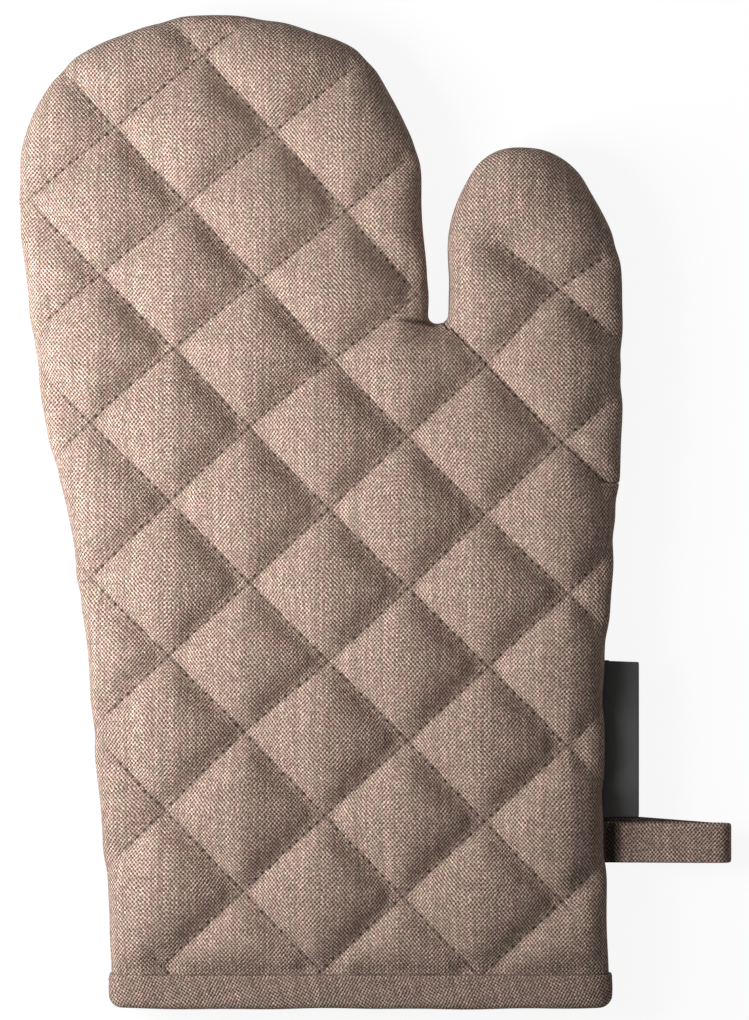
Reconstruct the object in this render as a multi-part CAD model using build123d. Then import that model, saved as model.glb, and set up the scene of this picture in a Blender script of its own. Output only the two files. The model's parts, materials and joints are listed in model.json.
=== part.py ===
from build123d import *
import math
import os

# Oven mitt of quilted linen, lying flat on its back panel, in millimetres.
# The outline is drawn from the middle of the cuff's edge: x across towards the thumb,
# y up towards the fingertips, z up from the table.

# Overall sizes
mitt_length = 300.0  # cuff edge to fingertips
mitt_thickness = 27.0  # table to the top of the front panel
edge_radius = 12.0  # roundness of the padded rim, top and bottom
cuff_width = 152.4  # across the cuff edge
finger_side = 103.5  # cuff middle to the little-finger side
thumb_side = 79.6  # cuff middle to the outside of the thumb
thumb_height = 260.3  # cuff edge to the tip of the thumb
crotch_height = 207.0  # cuff edge to the floor of the slot beside the thumb
slot_middle = 23.45  # cuff middle to the middle of that slot
slot_floor = 5.1  # width of the slot at its floor
slot_floor_radius = 2.4
waist_width = 73.6  # cuff middle to the narrowest place on the thumb side
waist_height = 90.0
thumb_base_height = 172.0  # where the outside of the thumb runs straight up

# Plies of the padded wall, from the outside in, and the play between them
linen_thickness = 0.8
wadding_thickness = 4.8
lining_thickness = 0.6
ply_gap = 0.15
cuff_wadding_thickness = 2.5  # wadding pressed flat inside the binding

# Binding round the open cuff
binding_height = 10.3
binding_thickness = 0.9
binding_stitch_drop = 1.4  # seam row below the binding's upper edge

# Sewing thread
thread_width = 0.6
thread_height = 0.3
seam_inset = 3.2  # side seam in from the edge

# Quilting: two sets of parallel rows that cross in diamonds
diamond_width = 47.8
diamond_height = 45.6
quilt_centre_x = 38.2  # one crossing of the rows
quilt_centre_y = 148.8
quilt_rows = 9  # rows to each side of that crossing

# Folds of the soft wall
fold_gap = 0.3  # play between the cut faces at a fold
finger_fold_rise = 18.0  # finger fold above the slot's floor
thumb_fold_angle = -43.0  # thumb fold, turned from x
thumb_fold_offset = 12.0  # thumb fold out from the slot's floor

# Hanging loop of linen tape in the side seam
loop_reach = 36.4  # side seam to the end of the loop
loop_width = 11.5
loop_bottom = 44.4  # cuff edge to the loop's lower edge
tape_thickness = 1.3
loop_eye = 6.0  # height of the eye inside the fold
loop_lap = 3.0  # legs lie together this far before they part

# Folded ribbon label in the side seam
label_reach = 9.2
label_height = 47.4
label_bottom = 57.6
ribbon_thickness = 0.35
ribbon_gap = 0.3  # between the two layers of ribbon

# Ends of the loop and the label that are sewn into the side seam
tail_depth = 4.5  # reaches past the side seam
tail_show = 0.1  # past the edge
swing_gap = 0.3  # between a sewn end and what swings from it

# Worked-out levels, and the size of the blocks that cut
seam_level = mitt_thickness / 2
rim_radius = min(edge_radius, seam_level - thread_height)
block_size = 4 * (mitt_length + finger_side + thumb_side)
run_out = 20.0  # how far solids run past the cuff before it is cut


def corner_radius(before, corner, after, wanted):
    """Keep a rounded corner within its two runs."""
    back = Vector(*before) - Vector(*corner)
    ahead = Vector(*after) - Vector(*corner)
    turn = math.radians(180 - back.get_angle(ahead))
    shorter = min(back.length, ahead.length)
    return min(wanted, 0.49 * shorter / math.tan(turn / 2))


def mitt_outline():
    """Outline of the mitt, run out past the cuff, as one flat face."""
    slot_left = slot_middle - slot_floor / 2
    slot_right = slot_middle + slot_floor / 2
    start = (cuff_width / 2, -run_out)
    end = (-cuff_width / 2, -run_out)
    corners = [
        # thumb side of the hand and the thumb
        (waist_width, waist_height, 600),
        (thumb_side, thumb_base_height, 400),
        (thumb_side, thumb_height - 28.6, 60),
        (thumb_side - 16.5, thumb_height, 25),
        (slot_middle + 13.95, thumb_height, 18),
        (slot_middle + 2.05, thumb_height - 20.6, 48),
        # slot beside the thumb
        (slot_right, crotch_height, slot_floor_radius),
        (slot_left, crotch_height, slot_floor_radius),
        # fingers
        (slot_middle - 5.4, mitt_length - 36.6, 60),
        (slot_middle - 22.5, mitt_length - 9.2, 42),
        (slot_middle - 47.75, mitt_length, 65),
        (45.4 - finger_side, mitt_length, 90),
        (18.3 - finger_side, mitt_length - 9.8, 42),
        (-finger_side, mitt_length - 33.3, 50),
        (-finger_side, mitt_length - 64.5, 200),
        # little-finger side of the hand
        (6.7 - finger_side, 181.1, 400),
        (18.1 - finger_side, 131.7, 400),
        (-cuff_width / 2 - 0.2, 29.0, 800),
    ]
    points = [start] + [(x, y) for x, y, radius in corners] + [end]
    radii = []
    for number, (x, y, wanted) in enumerate(corners, start=1):
        radii.append(corner_radius(points[number - 1], points[number], points[number + 1], wanted))
    edge = FilletPolyline(*points, radius=radii)
    return make_face(edge.edges() + Line(end, start).edges())


outline = mitt_outline()


def inset_outline(inset):
    """The outline drawn in by an inset."""
    if inset == 0:
        return outline
    return offset(outline, -inset)


def inset_body(inset):
    """The whole padded shape drawn in by an inset on every side, with its rim rounded."""
    height = mitt_thickness - 2 * inset
    block = Pos(0, 0, inset) * extrude(inset_outline(inset), height)
    levels = block.faces().sort_by(Axis.Z)
    return fillet(levels[0].edges() + levels[-1].edges(), rim_radius - inset)


def large_block(*align):
    """A block larger than the mitt, to cut with."""
    return Box(block_size, block_size, block_size, align=align)


def past(y):
    """Everything from a height above the cuff to beyond the fingertips."""
    return Pos(0, y, 0) * large_block(Align.CENTER, Align.MIN, Align.CENTER)


def stepped_body(hand_inset, cuff_inset, step):
    """A padded shape with one inset in the hand and another in the cuff below the step."""
    return (inset_body(hand_inset) & past(step)) + (inset_body(cuff_inset) - past(step))


# Insets of each ply's two faces, in the hand and under the binding
linen_out = 0.0
linen_in = linen_out + linen_thickness
wadding_out = linen_in + ply_gap
wadding_in = wadding_out + wadding_thickness
lining_out = wadding_in + ply_gap
lining_in = lining_out + lining_thickness

cuff_linen_out = binding_thickness + ply_gap
cuff_linen_in = cuff_linen_out + linen_thickness
cuff_wadding_out = cuff_linen_in + ply_gap
cuff_wadding_in = cuff_wadding_out + cuff_wadding_thickness
cuff_lining_out = cuff_wadding_in + ply_gap
cuff_lining_in = cuff_lining_out + lining_thickness
binding_leg_out = cuff_lining_in + ply_gap
binding_leg_in = binding_leg_out + binding_thickness

# Each ply steps in under the binding just above the binding's upper edge
ply_end = binding_thickness + ply_gap
linen_step = binding_height + ply_gap
linen_step_in = linen_step + linen_thickness
lining_step = binding_height + ply_gap
lining_step_in = lining_step + lining_thickness

linen_outside = stepped_body(linen_out, cuff_linen_out, linen_step)
linen_inside = stepped_body(linen_in, cuff_linen_in, linen_step_in)
wadding_outside = stepped_body(wadding_out, cuff_wadding_out, linen_step_in + ply_gap)
wadding_inside = stepped_body(wadding_in, cuff_wadding_in, lining_step_in + ply_gap)
lining_outside = stepped_body(lining_out, cuff_lining_out, lining_step_in)
lining_inside = stepped_body(lining_in, cuff_lining_in, lining_step)

plies = {
    "linen": (linen_outside - linen_inside) & past(ply_end),
    "wadding": (wadding_outside - wadding_inside) & past(ply_end),
    "lining": (lining_outside - lining_inside) & past(ply_end),
}

# Places of the two folds, and the block that each fold cuts off
finger_fold_y = crotch_height + finger_fold_rise
thumb_fold_normal = (-math.sin(math.radians(thumb_fold_angle)), math.cos(math.radians(thumb_fold_angle)))
thumb_fold_x = slot_middle + thumb_fold_offset * thumb_fold_normal[0]
thumb_fold_y = crotch_height + thumb_fold_offset * thumb_fold_normal[1]
thumb_fold = Pos(thumb_fold_x, thumb_fold_y, 0) * Rot(0, 0, thumb_fold_angle)


def beyond_finger_fold(play):
    """The fingers' side of the finger fold, left of the slot."""
    return Pos(slot_middle, finger_fold_y + play, 0) * large_block(Align.MAX, Align.MIN, Align.CENTER)


def beyond_thumb_fold(play):
    """The thumb's side of the thumb fold, right of the slot."""
    outward = thumb_fold * Pos(0, play, 0) * large_block(Align.CENTER, Align.MIN, Align.CENTER)
    right = Pos(slot_middle, 0, 0) * large_block(Align.MIN, Align.CENTER, Align.CENTER)
    return outward & right


zone_blocks = {
    "palm": past(0) - beyond_finger_fold(-fold_gap / 2) - beyond_thumb_fold(-fold_gap / 2),
    "fingers": beyond_finger_fold(fold_gap / 2),
    "thumb": beyond_thumb_fold(fold_gap / 2),
}
front_block = Pos(0, 0, seam_level) * large_block(Align.CENTER, Align.CENTER, Align.MIN)
seam_plane = Plane.XY.offset(seam_level)


def edge_reach(bottom, height):
    """How far out the mitt's thumb side comes between two heights."""
    strip = Pos(0, bottom, 0) * Rectangle(block_size, height, align=(Align.CENTER, Align.MIN))
    return (outline & strip).bounding_box().max.X


def flat_strip(low_x, high_x, bottom, height, thickness):
    """A flat block on the seam's level."""
    corner = (Align.MIN, Align.MIN, Align.CENTER)
    return Pos(low_x, bottom, seam_level) * Box(high_x - low_x, height, thickness, align=corner)


def sewn_tail(edge, bottom, height, thickness):
    """The end of a loop or label that lies between the panels."""
    return flat_strip(edge - tail_depth, edge + tail_show, bottom, height, thickness)


def tail_pocket(edge, bottom, height, thickness):
    """The room that a sewn-in end needs between the panels, open to the edge."""
    inner = edge - tail_depth - ply_gap
    outer = edge + tail_depth
    return flat_strip(inner, outer, bottom - ply_gap, height + 2 * ply_gap, thickness + 2 * ply_gap)


# Side seam: one thread round the edge, half in each panel's wadding
seam_ring = inset_outline(seam_inset) - inset_outline(seam_inset + thread_width)
seam_thread = Pos(0, 0, seam_level - thread_height) * extrude(seam_ring, 2 * thread_height)
seam_thread = seam_thread & past(linen_step_in + ply_gap)

# Hanging loop: a tape folded back on itself, seen from its side as a teardrop
loop_edge = edge_reach(loop_bottom, loop_width)
loop_axis_x = loop_edge + tail_show + swing_gap + tape_thickness
loop_fold_radius = loop_eye / 2 + tape_thickness
loop_fold_x = loop_edge + loop_reach - loop_fold_radius
loop_root = Pos(loop_axis_x, 0) * Circle(tape_thickness)
loop_end = Pos(loop_fold_x, 0) * Circle(loop_fold_radius)
eye_root = Pos(loop_axis_x + loop_lap, 0) * Circle(ply_gap)
eye_end = Pos(loop_fold_x, 0) * Circle(loop_eye / 2)
loop_profile = make_hull(loop_root.edges() + loop_end.edges())
loop_profile -= make_hull(eye_root.edges() + eye_end.edges())
loop_plane = Plane(origin=(0, loop_bottom, seam_level), x_dir=(1, 0, 0), z_dir=(0, -1, 0))
hanging_loop = extrude(loop_plane * loop_profile, -loop_width)
loop_tail = sewn_tail(loop_edge, loop_bottom, loop_width, 2 * tape_thickness)

# Label: a ribbon folded along its outer edge
label_edge = edge_reach(label_bottom, label_height)
label_thickness = 2 * ribbon_thickness + ribbon_gap
label_axis_x = label_edge + tail_show + swing_gap + label_thickness / 2
label_round = label_thickness / 2
label_fold_x = label_edge + label_reach - label_round
label_root = Pos(label_axis_x, 0) * Circle(label_round)
label_end = Pos(label_fold_x, 0) * Circle(label_round)
slit_root = Pos(label_axis_x + label_round, 0) * Circle(ribbon_gap / 2)
slit_end = Pos(label_fold_x, 0) * Circle(ribbon_gap / 2)
label_profile = make_hull(label_root.edges() + label_end.edges())
label_profile -= make_hull(slit_root.edges() + slit_end.edges())
label_plane = Plane(origin=(0, label_bottom, seam_level), x_dir=(1, 0, 0), z_dir=(0, -1, 0))
label_tab = extrude(label_plane * label_profile, -label_height)
label_tail = sewn_tail(label_edge, label_bottom, label_height, label_thickness)

pockets = [
    tail_pocket(loop_edge, loop_bottom, loop_width, 2 * tape_thickness),
    tail_pocket(label_edge, label_bottom, label_height, label_thickness),
]

# Quilting rows: the falling rows are sewn first and lie under the rising ones
quilt_angle = math.degrees(math.atan2(diamond_height, diamond_width))
quilt_pitch = diamond_width * math.sin(math.radians(quilt_angle))
quilt_field = extrude(inset_outline(rim_radius + thread_width), mitt_thickness)
quilt_field = quilt_field & past(linen_step_in + thread_width)


def quilting_rows(angle, top, height):
    """Parallel bars over the whole flat of the front panel, their upper faces at one level."""
    crossing = Pos(quilt_centre_x, quilt_centre_y, top) * Rot(0, 0, angle)
    bar = Box(block_size, thread_width, height, align=(Align.CENTER, Align.CENTER, Align.MAX))
    rows = Part()
    for number in range(-quilt_rows, quilt_rows + 1):
        rows += crossing * Pos(0, number * quilt_pitch, 0) * bar
    return rows & quilt_field


rising_rows = quilting_rows(quilt_angle, mitt_thickness, thread_height)
falling_rows = quilting_rows(-quilt_angle, mitt_thickness - thread_height, thread_height)
falling_grooves = quilting_rows(-quilt_angle, mitt_thickness, 2 * thread_height)

# Binding: one folded band round the cuff, with its seam row in a groove
binding_outside = inset_body(0.0) - past(binding_height)
binding_channel = (inset_body(binding_thickness) - inset_body(binding_leg_out)) & past(binding_thickness)
cuff_binding = (binding_outside - inset_body(binding_leg_in) - binding_channel) & past(0)
stitch_low = binding_height - binding_stitch_drop - thread_width
stitch_band = past(stitch_low) - past(stitch_low + thread_width)
binding_stitch = (inset_body(0.0) - inset_body(thread_height)) & stitch_band
cuff_binding -= binding_stitch

# Every piece by name
pieces = {"cuff_binding": cuff_binding, "binding_stitch": binding_stitch}
for zone, zone_block in zone_blocks.items():
    front_plies = {ply: solid & zone_block & front_block for ply, solid in plies.items()}
    front_plies["wadding"] -= seam_thread
    front_plies["linen"] = front_plies["linen"] - rising_rows - falling_grooves
    if zone == "palm":
        for pocket in pockets:
            front_plies["linen"] -= pocket
            front_plies["wadding"] -= pocket
    front_plies["rising_threads"] = rising_rows & zone_block
    front_plies["falling_threads"] = falling_rows & zone_block
    for ply, solid in front_plies.items():
        pieces[f"front_{ply}_{zone}"] = solid
        pieces[f"back_{ply}_{zone}"] = mirror(solid, seam_plane)
    pieces[f"seam_thread_{zone}"] = seam_thread & zone_block
pieces["hanging_loop"] = hanging_loop
pieces["loop_tail"] = loop_tail - seam_thread
pieces["label_tab"] = label_tab
pieces["label_tail"] = label_tail - seam_thread

# The origin is under the middle of the whole object
whole = Compound(children=[Part() + piece for piece in pieces.values()]).bounding_box()
to_origin = Pos(-whole.center().X, -whole.center().Y, -whole.min.Z)

os.makedirs("parts", exist_ok=True)
for name, piece in pieces.items():
    export_step(to_origin * piece, f"parts/{name}.step")
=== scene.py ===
"""Quilted linen oven mitt: panels, wadding, lining, sewing, cuff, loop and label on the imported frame."""
import json
import math
from functools import lru_cache

import bmesh
import bpy
import numpy as np
from bpy.props import FloatProperty, FloatVectorProperty, IntProperty, PointerProperty
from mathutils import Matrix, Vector
from mathutils.geometry import delaunay_2d_cdt
from mathutils.kdtree import KDTree


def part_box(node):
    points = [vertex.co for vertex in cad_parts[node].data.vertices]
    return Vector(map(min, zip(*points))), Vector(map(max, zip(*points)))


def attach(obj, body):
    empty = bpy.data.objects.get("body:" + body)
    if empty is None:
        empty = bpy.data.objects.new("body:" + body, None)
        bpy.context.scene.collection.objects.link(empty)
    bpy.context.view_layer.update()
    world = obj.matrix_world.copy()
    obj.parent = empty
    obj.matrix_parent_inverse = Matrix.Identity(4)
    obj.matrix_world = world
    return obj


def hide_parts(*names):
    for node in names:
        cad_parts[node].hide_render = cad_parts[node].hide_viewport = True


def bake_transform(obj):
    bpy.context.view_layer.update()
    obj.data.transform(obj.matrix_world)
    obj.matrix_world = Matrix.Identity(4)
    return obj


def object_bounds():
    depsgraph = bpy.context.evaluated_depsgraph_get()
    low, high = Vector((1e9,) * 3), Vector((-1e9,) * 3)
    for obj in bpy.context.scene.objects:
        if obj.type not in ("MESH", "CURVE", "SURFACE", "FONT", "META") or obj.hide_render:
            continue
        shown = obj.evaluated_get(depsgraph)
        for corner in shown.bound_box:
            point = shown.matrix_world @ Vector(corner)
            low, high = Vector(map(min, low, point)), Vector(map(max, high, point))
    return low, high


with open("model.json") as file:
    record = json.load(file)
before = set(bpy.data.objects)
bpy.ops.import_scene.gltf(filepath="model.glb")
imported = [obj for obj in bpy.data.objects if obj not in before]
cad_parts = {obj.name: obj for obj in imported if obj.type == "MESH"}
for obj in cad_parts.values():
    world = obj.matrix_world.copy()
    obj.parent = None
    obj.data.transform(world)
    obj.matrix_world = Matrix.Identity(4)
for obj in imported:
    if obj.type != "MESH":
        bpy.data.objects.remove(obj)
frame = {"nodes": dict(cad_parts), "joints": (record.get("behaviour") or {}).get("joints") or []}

bl_info = {
    "name": "Quilted oven mitt",
    "version": (1, 0, 0),
    "blender": (4, 5, 0),
    "location": "View3D > Sidebar > Oven mitt",
    "description": "Sews a quilted linen oven mitt round its packed frame and sets it on a studio floor",
    "category": "Add Mesh",
}

mm = 0.001
cad_low, cad_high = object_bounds()
joints = {joint["name"]: joint for joint in frame["joints"]}

# The outline is drawn in millimetres from the middle of the cuff's edge, as x, y and corner radius,
# up the thumb side, round the slot and down the little-finger side.
finger_side = 103.5
cuff_middle = np.array([cad_low.x + finger_side * mm, cad_low.y])
seam_level = (cad_low.z + cad_high.z) / 2
slot_middle = 23.45
outline_corners = (
    (76.2, -20.0, 0.0),
    (73.6, 90.0, 600.0),
    (79.6, 172.0, 400.0),
    (79.6, 231.7, 60.0),
    (63.1, 260.3, 25.0),
    (37.4, 260.3, 18.0),
    (24.8, 239.7, 48.0),
    (25.1, 207.8, 1.5),
    (21.6, 207.8, 1.5),
    (18.4, 263.4, 60.0),
    (0.95, 290.8, 42.0),
    (-24.3, 300.0, 65.0),
    (-58.1, 300.0, 90.0),
    (-85.2, 290.2, 42.0),
    (-103.5, 266.7, 50.0),
    (-103.5, 235.5, 200.0),
    (-96.8, 181.1, 400.0),
    (-85.4, 131.7, 400.0),
    (-76.4, 29.0, 800.0),
    (-76.2, -20.0, 0.0),
)
corner_share = 0.49  # most of a run that one rounded corner may take
outline_step = 0.25

# Quilting rows, in millimetres: one crossing and the two sides of a diamond
crossing = np.array([38.2, 148.8])
falling_side = np.array([23.93, -23.54])
rising_side = np.array([-23.93, -22.04])
diamond_sides = np.array([falling_side, rising_side])
stitches_per_side = 12
steps_per_side = 2 * stitches_per_side
diamond_area = abs(falling_side[0] * rising_side[1] - falling_side[1] * rising_side[0])
row_gaps = diamond_area / np.linalg.norm(diamond_sides[::-1], axis=1)
# Towards the fingertips the rows lean aside
lean_start = 174.0
lean_end = 263.0
lean_reach = 7.1
lean_power = 1.3
lean_way = np.array([1.0, -0.19])
cuff_drift_start = 90.0
cuff_drift = np.array([-0.033, -0.025])  # drift of the rows for each millimetre nearer to the cuff
# Places where the rows were sewn off their line: the middle, how far off, and the reach
strays = (
    ((-57.0, 183.0), (0.0, 1.9), 40.0),
    ((7.4, 216.7), (0.0, -2.3), 25.0),
    ((50.5, 168.0), (-1.9, 0.0), 32.0),
    ((60.0, 217.0), (-5.3, 1.0), 22.0),
    ((43.0, 232.0), (-4.0, -3.3), 15.0),
    ((-35.0, 82.0), (-1.2, 1.2), 26.0),
)
drift_repeats = 9  # rounds that find a row from a plan point
thumb_tip_row = -1.72  # beyond this count of rising rows the thumb is left unsewn
bare_corners = ((-62.0, 36.0), (61.5, 31.5))  # outwards of x and below y, beside the cuff, no row is sewn
# Towards the edge the painted shade of the needle holes and the row creases fades: where that ends, over how
# far, and to what share
rim_fade = (3.0, 6.0)
rim_share = 0.35
grid_step = 1.36  # mesh spacing away from the rows

# The thumb piece is cut off along one falling row and along a short run to the slot's corner
split_row = -1
split_corner = np.array([25.4, 206.4])
split_lead = 4  # mesh steps along the row that the run takes

# In what follows a fade is a depth in from the edge where something sets in, and over how far it grows.
# The lining's own round, the depth where it lies straight under the panel, and the swell of its pillows
lining_round = 7.0
lining_straight = 22.0
lining_bulge = 1.0
lining_bulge_power = 0.8
lining_bulge_fade = (4.0, 12.0)

# Above the binding the panels and the lining come to their full rise over these heights
rise_share = 0.7  # of the binding's height
quilt_ease = 14.0
lining_ease = 14.0

# Slow waves of the panels, with a lift of the rows between their crossings
sway_height = 0.8
sway_across = 11.0  # millimetres a radian
sway_up = 14.0
sway_up_start = 0.7
sway_bend = 23.0  # the wave across bends to and fro on its way up
slant_sway = 0.5  # share of a second wave that runs aslant
slant_sway_across = 19.0
slant_sway_up = 16.0
slant_sway_start = 2.0
sway_fade = (5.0, 14.0)
row_lift = 0.35
crossing_reach = 3.6

# The ends of the rows draw in the edge, and the binding draws in the little-finger side of the cuff
notch_depth = 0.6
notch_width = 2.4
notch_fade = (1.0, 7.0)
edge_swell = 0.1
cuff_narrow = 0.7
cuff_narrow_fade = (0.0, 25.0)

# Fullness of the rim, and where and how unevenly that of the pillows comes in
rim_fullness = 0.008
fullness_fade = (2.0, 13.0)
fullness_spread = 0.4
draw_cells = 64  # the diamonds draw their fullness from a square of this many cells

# First mound of a pillow, and the cap on the cloth near the rim and the slot's creases
mound_height = 4.4
mound_power = 0.7
mound_fade = (0.0, 10.0)
cap_low = 0.1
cap_rise = 5.6
cap_reach = 13.0
cap_depth = 6.0
open_height = 99.0  # above anything: nothing presses on the front

# Fold creases that pull from the slot's floor, as their two ends, and how far off they are at the far end
slot_creases = (((22.4, 206.9), (8.0, 207.3)), ((24.4, 206.0), (40.0, 203.0)))
crease_end_gap = 3.5

row_crease = 0.6  # sharpness of the rows
join_angle = math.radians(60)  # most that two triangles of one four-sided face may be out of shape


class MittSizes(bpy.types.PropertyGroup):
    """Sizes of the sewn mitt."""

    rim_width: FloatProperty(
        name="Rim width", description="Plan width of the rounded edge", default=12.5 * mm, unit="LENGTH")
    rim_rise: FloatProperty(
        name="Rim rise", description="Height of the rim's round above its widest line",
        default=6.3 * mm, unit="LENGTH")
    belly_rise: FloatProperty(
        name="Belly rise", description="Widest line of a panel above the side seam",
        default=3.0 * mm, unit="LENGTH")
    rim_inset: FloatProperty(
        name="Rim inset", description="Room left inside the outline for the rim to swell",
        default=0.5 * mm, unit="LENGTH")
    fullness: FloatProperty(
        name="Fullness", description="Cloth in a pillow beyond its flat size",
        default=0.030, subtype="FACTOR")
    stitch_sink: FloatProperty(
        name="Stitch sink", description="Depth of a needle hole below the panel's level",
        default=0.45 * mm, unit="LENGTH")
    stitch_slack: FloatProperty(
        name="Stitch slack", description="Rise of the cloth between two needle holes",
        default=0.35 * mm, unit="LENGTH")
    table_gap: FloatProperty(
        name="Table gap", description="Lowest point of the back panel above the table",
        default=0.1 * mm, unit="LENGTH")
    linen_thickness: FloatProperty(
        name="Linen", description="Thickness of the linen", default=0.6 * mm, unit="LENGTH")
    lining_thickness: FloatProperty(
        name="Lining", description="Thickness of the lining", default=0.4 * mm, unit="LENGTH")
    lining_inset: FloatProperty(
        name="Lining inset", description="Side of the lining in from the outline",
        default=6.6 * mm, unit="LENGTH")
    lining_rise: FloatProperty(
        name="Lining rise", description="Lining above the side seam's level", default=7.3 * mm, unit="LENGTH")
    binding_height: FloatProperty(
        name="Binding height", description="Height of the binding round the cuff",
        default=10.3 * mm, unit="LENGTH")
    cuff_front: FloatProperty(
        name="Cuff front", description="Front panel above the side seam inside the binding",
        default=7.2 * mm, unit="LENGTH")
    cuff_back: FloatProperty(
        name="Cuff back", description="Back panel below the side seam inside the binding",
        default=12.3 * mm, unit="LENGTH")
    cuff_wall: FloatProperty(
        name="Cuff wall", description="Linen to lining inside the binding", default=2.6 * mm, unit="LENGTH")
    thread_radius: FloatProperty(
        name="Thread radius", description="Half the thickness of the sewing thread",
        default=0.13 * mm, unit="LENGTH")
    rounds: IntProperty(
        name="Rounds", description="Steps of the cloth simulation", default=320)


class MittColours(bpy.types.PropertyGroup):
    """Colours of the cloths, threads and floor."""

    warp: FloatVectorProperty(
        name="Warp", description="Lengthwise linen threads", default=(0.60, 0.443, 0.37), subtype="COLOR")
    weft: FloatVectorProperty(
        name="Weft", description="Crosswise linen threads", default=(0.135, 0.088, 0.068), subtype="COLOR")
    thread: FloatVectorProperty(
        name="Thread", description="Sewing thread", default=(0.26, 0.19, 0.15), subtype="COLOR")
    wadding: FloatVectorProperty(
        name="Wadding", description="Felt between the cloths", default=(0.75, 0.73, 0.68), subtype="COLOR")
    lining: FloatVectorProperty(
        name="Lining", description="Cotton inside", default=(0.46, 0.38, 0.32), subtype="COLOR")
    ribbon: FloatVectorProperty(
        name="Ribbon", description="Folded label", default=(0.12, 0.12, 0.12), subtype="COLOR")
    floor: FloatVectorProperty(
        name="Floor", description="Studio floor", default=(0.8, 0.8, 0.8), subtype="COLOR")


def sizes():
    """The sizes set in the panel."""
    return bpy.context.scene.mitt_sizes


def colours():
    """The colours set in the panel."""
    return bpy.context.scene.mitt_colours


# Plan of the mitt


def unit(vectors):
    """Vectors brought to length one."""
    return vectors / np.linalg.norm(vectors, axis=-1, keepdims=True)


def smooth(share):
    """A share from 0 to 1, eased at both ends."""
    share = np.clip(share, 0.0, 1.0)
    return share * share * (3 - 2 * share)


def fade_in(value, start, reach):
    """0 up to a start, and eased up to 1 over a reach."""
    return smooth((value - start) / reach)


def to_frame(plan):
    """Millimetres from the middle of the cuff's edge, as metres in the frame."""
    return np.asarray(plan) * mm + cuff_middle


def from_frame(points):
    """Metres in the frame, as millimetres from the middle of the cuff's edge."""
    return (np.asarray(points) - cuff_middle) / mm


def walked_length(path):
    """Length walked along a path up to each of its points."""
    return np.concatenate([[0.0], np.cumsum(np.linalg.norm(np.diff(path, axis=0), axis=1))])


def evenly(path, step):
    """Lengths walked along a path up to its points, and up to places at even steps."""
    walked = walked_length(path)
    return walked, np.linspace(0.0, walked[-1], int(round(walked[-1] / step)) + 1)


def along(walked, values, places):
    """Values along a path, read at other places."""
    return np.stack([np.interp(places, walked, column) for column in values.T], axis=1)


def between(start, end):
    """Points at mesh spacing on a straight run, without its two ends."""
    count = int(round(np.linalg.norm(end - start) / grid_step))
    return start + np.linspace(0.0, 1.0, count + 1)[1:-1, None] * (end - start)


def nearest_number(points, place):
    """Number of the point nearest to a place."""
    return int(np.argmin(np.linalg.norm(points - place, axis=1)))


@lru_cache(None)
def outline():
    """The outline's points and inward directions, in millimetres."""
    path = [np.array(outline_corners[0][:2])]
    for before, corner, after in zip(outline_corners, outline_corners[1:], outline_corners[2:]):
        point = np.array(corner[:2])
        back = np.array(before[:2]) - point
        ahead = np.array(after[:2]) - point
        shorter = min(np.linalg.norm(back), np.linalg.norm(ahead))
        back, ahead = unit(back), unit(ahead)
        half = math.acos(float(back @ ahead)) / 2
        radius = min(corner[2], corner_share * shorter * math.tan(half))
        middle = point + unit(back + ahead) * radius / math.sin(half)
        start = point + back * radius / math.tan(half) - middle
        turn = math.pi - 2 * half
        if start[1] * back[0] - start[0] * back[1] < 0:
            turn = -turn
        pieces = max(2, math.ceil(radius * abs(turn) / outline_step))
        for angle in np.linspace(0.0, turn, pieces + 1):
            swing = np.array([[math.cos(angle), -math.sin(angle)], [math.sin(angle), math.cos(angle)]])
            path.append(middle + swing @ start)
    path.append(np.array(outline_corners[-1][:2]))
    path = np.array(path)
    walked, places = evenly(path, outline_step)
    points = along(walked, path, places)
    ahead = unit(np.gradient(points, axis=0))
    return points, np.stack([-ahead[:, 1], ahead[:, 0]], axis=1)


@lru_cache(None)
def outline_finder():
    """A search tree of the outline's points."""
    points = outline()[0]
    tree = KDTree(len(points))
    for number, (x, y) in enumerate(points):
        tree.insert((x, y, 0.0), number)
    tree.balance()
    return tree


def inside(plan):
    """How far plan points lie in from the outline, and the inward direction there."""
    points, inward = outline()
    finder = outline_finder()
    nearest = np.array([finder.find((x, y, 0.0))[1] for x, y in plan])
    reach = plan - points[nearest]
    depth = np.linalg.norm(reach, axis=1) * np.sign((reach * inward[nearest]).sum(axis=1))
    return depth, inward[nearest]


def drift(straight):
    """How far the rows stray from a straight grid: they lean at the fingertips and sag at the cuff."""
    y = straight[..., 1:]
    share = np.clip((y - lean_start) / (lean_end - lean_start), 0.0, None)
    moved = lean_reach * share ** lean_power * lean_way
    moved = moved + np.clip(cuff_drift_start - y, 0.0, None) * cuff_drift
    for middle, off, reach in strays:
        away = np.linalg.norm(straight - np.array(middle), axis=-1, keepdims=True)
        moved = moved + np.exp(-(away / reach) ** 2) * np.array(off)
    return moved


def rows_to_plan(rows):
    """Counts of rising and falling rows, as plan points."""
    straight = crossing + np.asarray(rows) @ diamond_sides
    return straight + drift(straight)


def plan_to_rows(plan):
    """Plan points, as counts of rising and falling rows."""
    plan = np.asarray(plan)
    straight = plan
    for repeat in range(drift_repeats):
        straight = plan - drift(straight)
    return (straight - crossing) @ np.linalg.inv(diamond_sides)


def row_distance(rows):
    """Distance to the nearest quilting row, in millimetres."""
    return (np.abs(rows - np.round(rows)) * row_gaps).min(axis=-1)


def near_crossing(rows):
    """1 where two quilting rows cross, fading to 0 a little way off."""
    away = np.linalg.norm((rows - np.round(rows)) @ diamond_sides, axis=-1)
    return np.exp(-(away / crossing_reach) ** 2)


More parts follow.
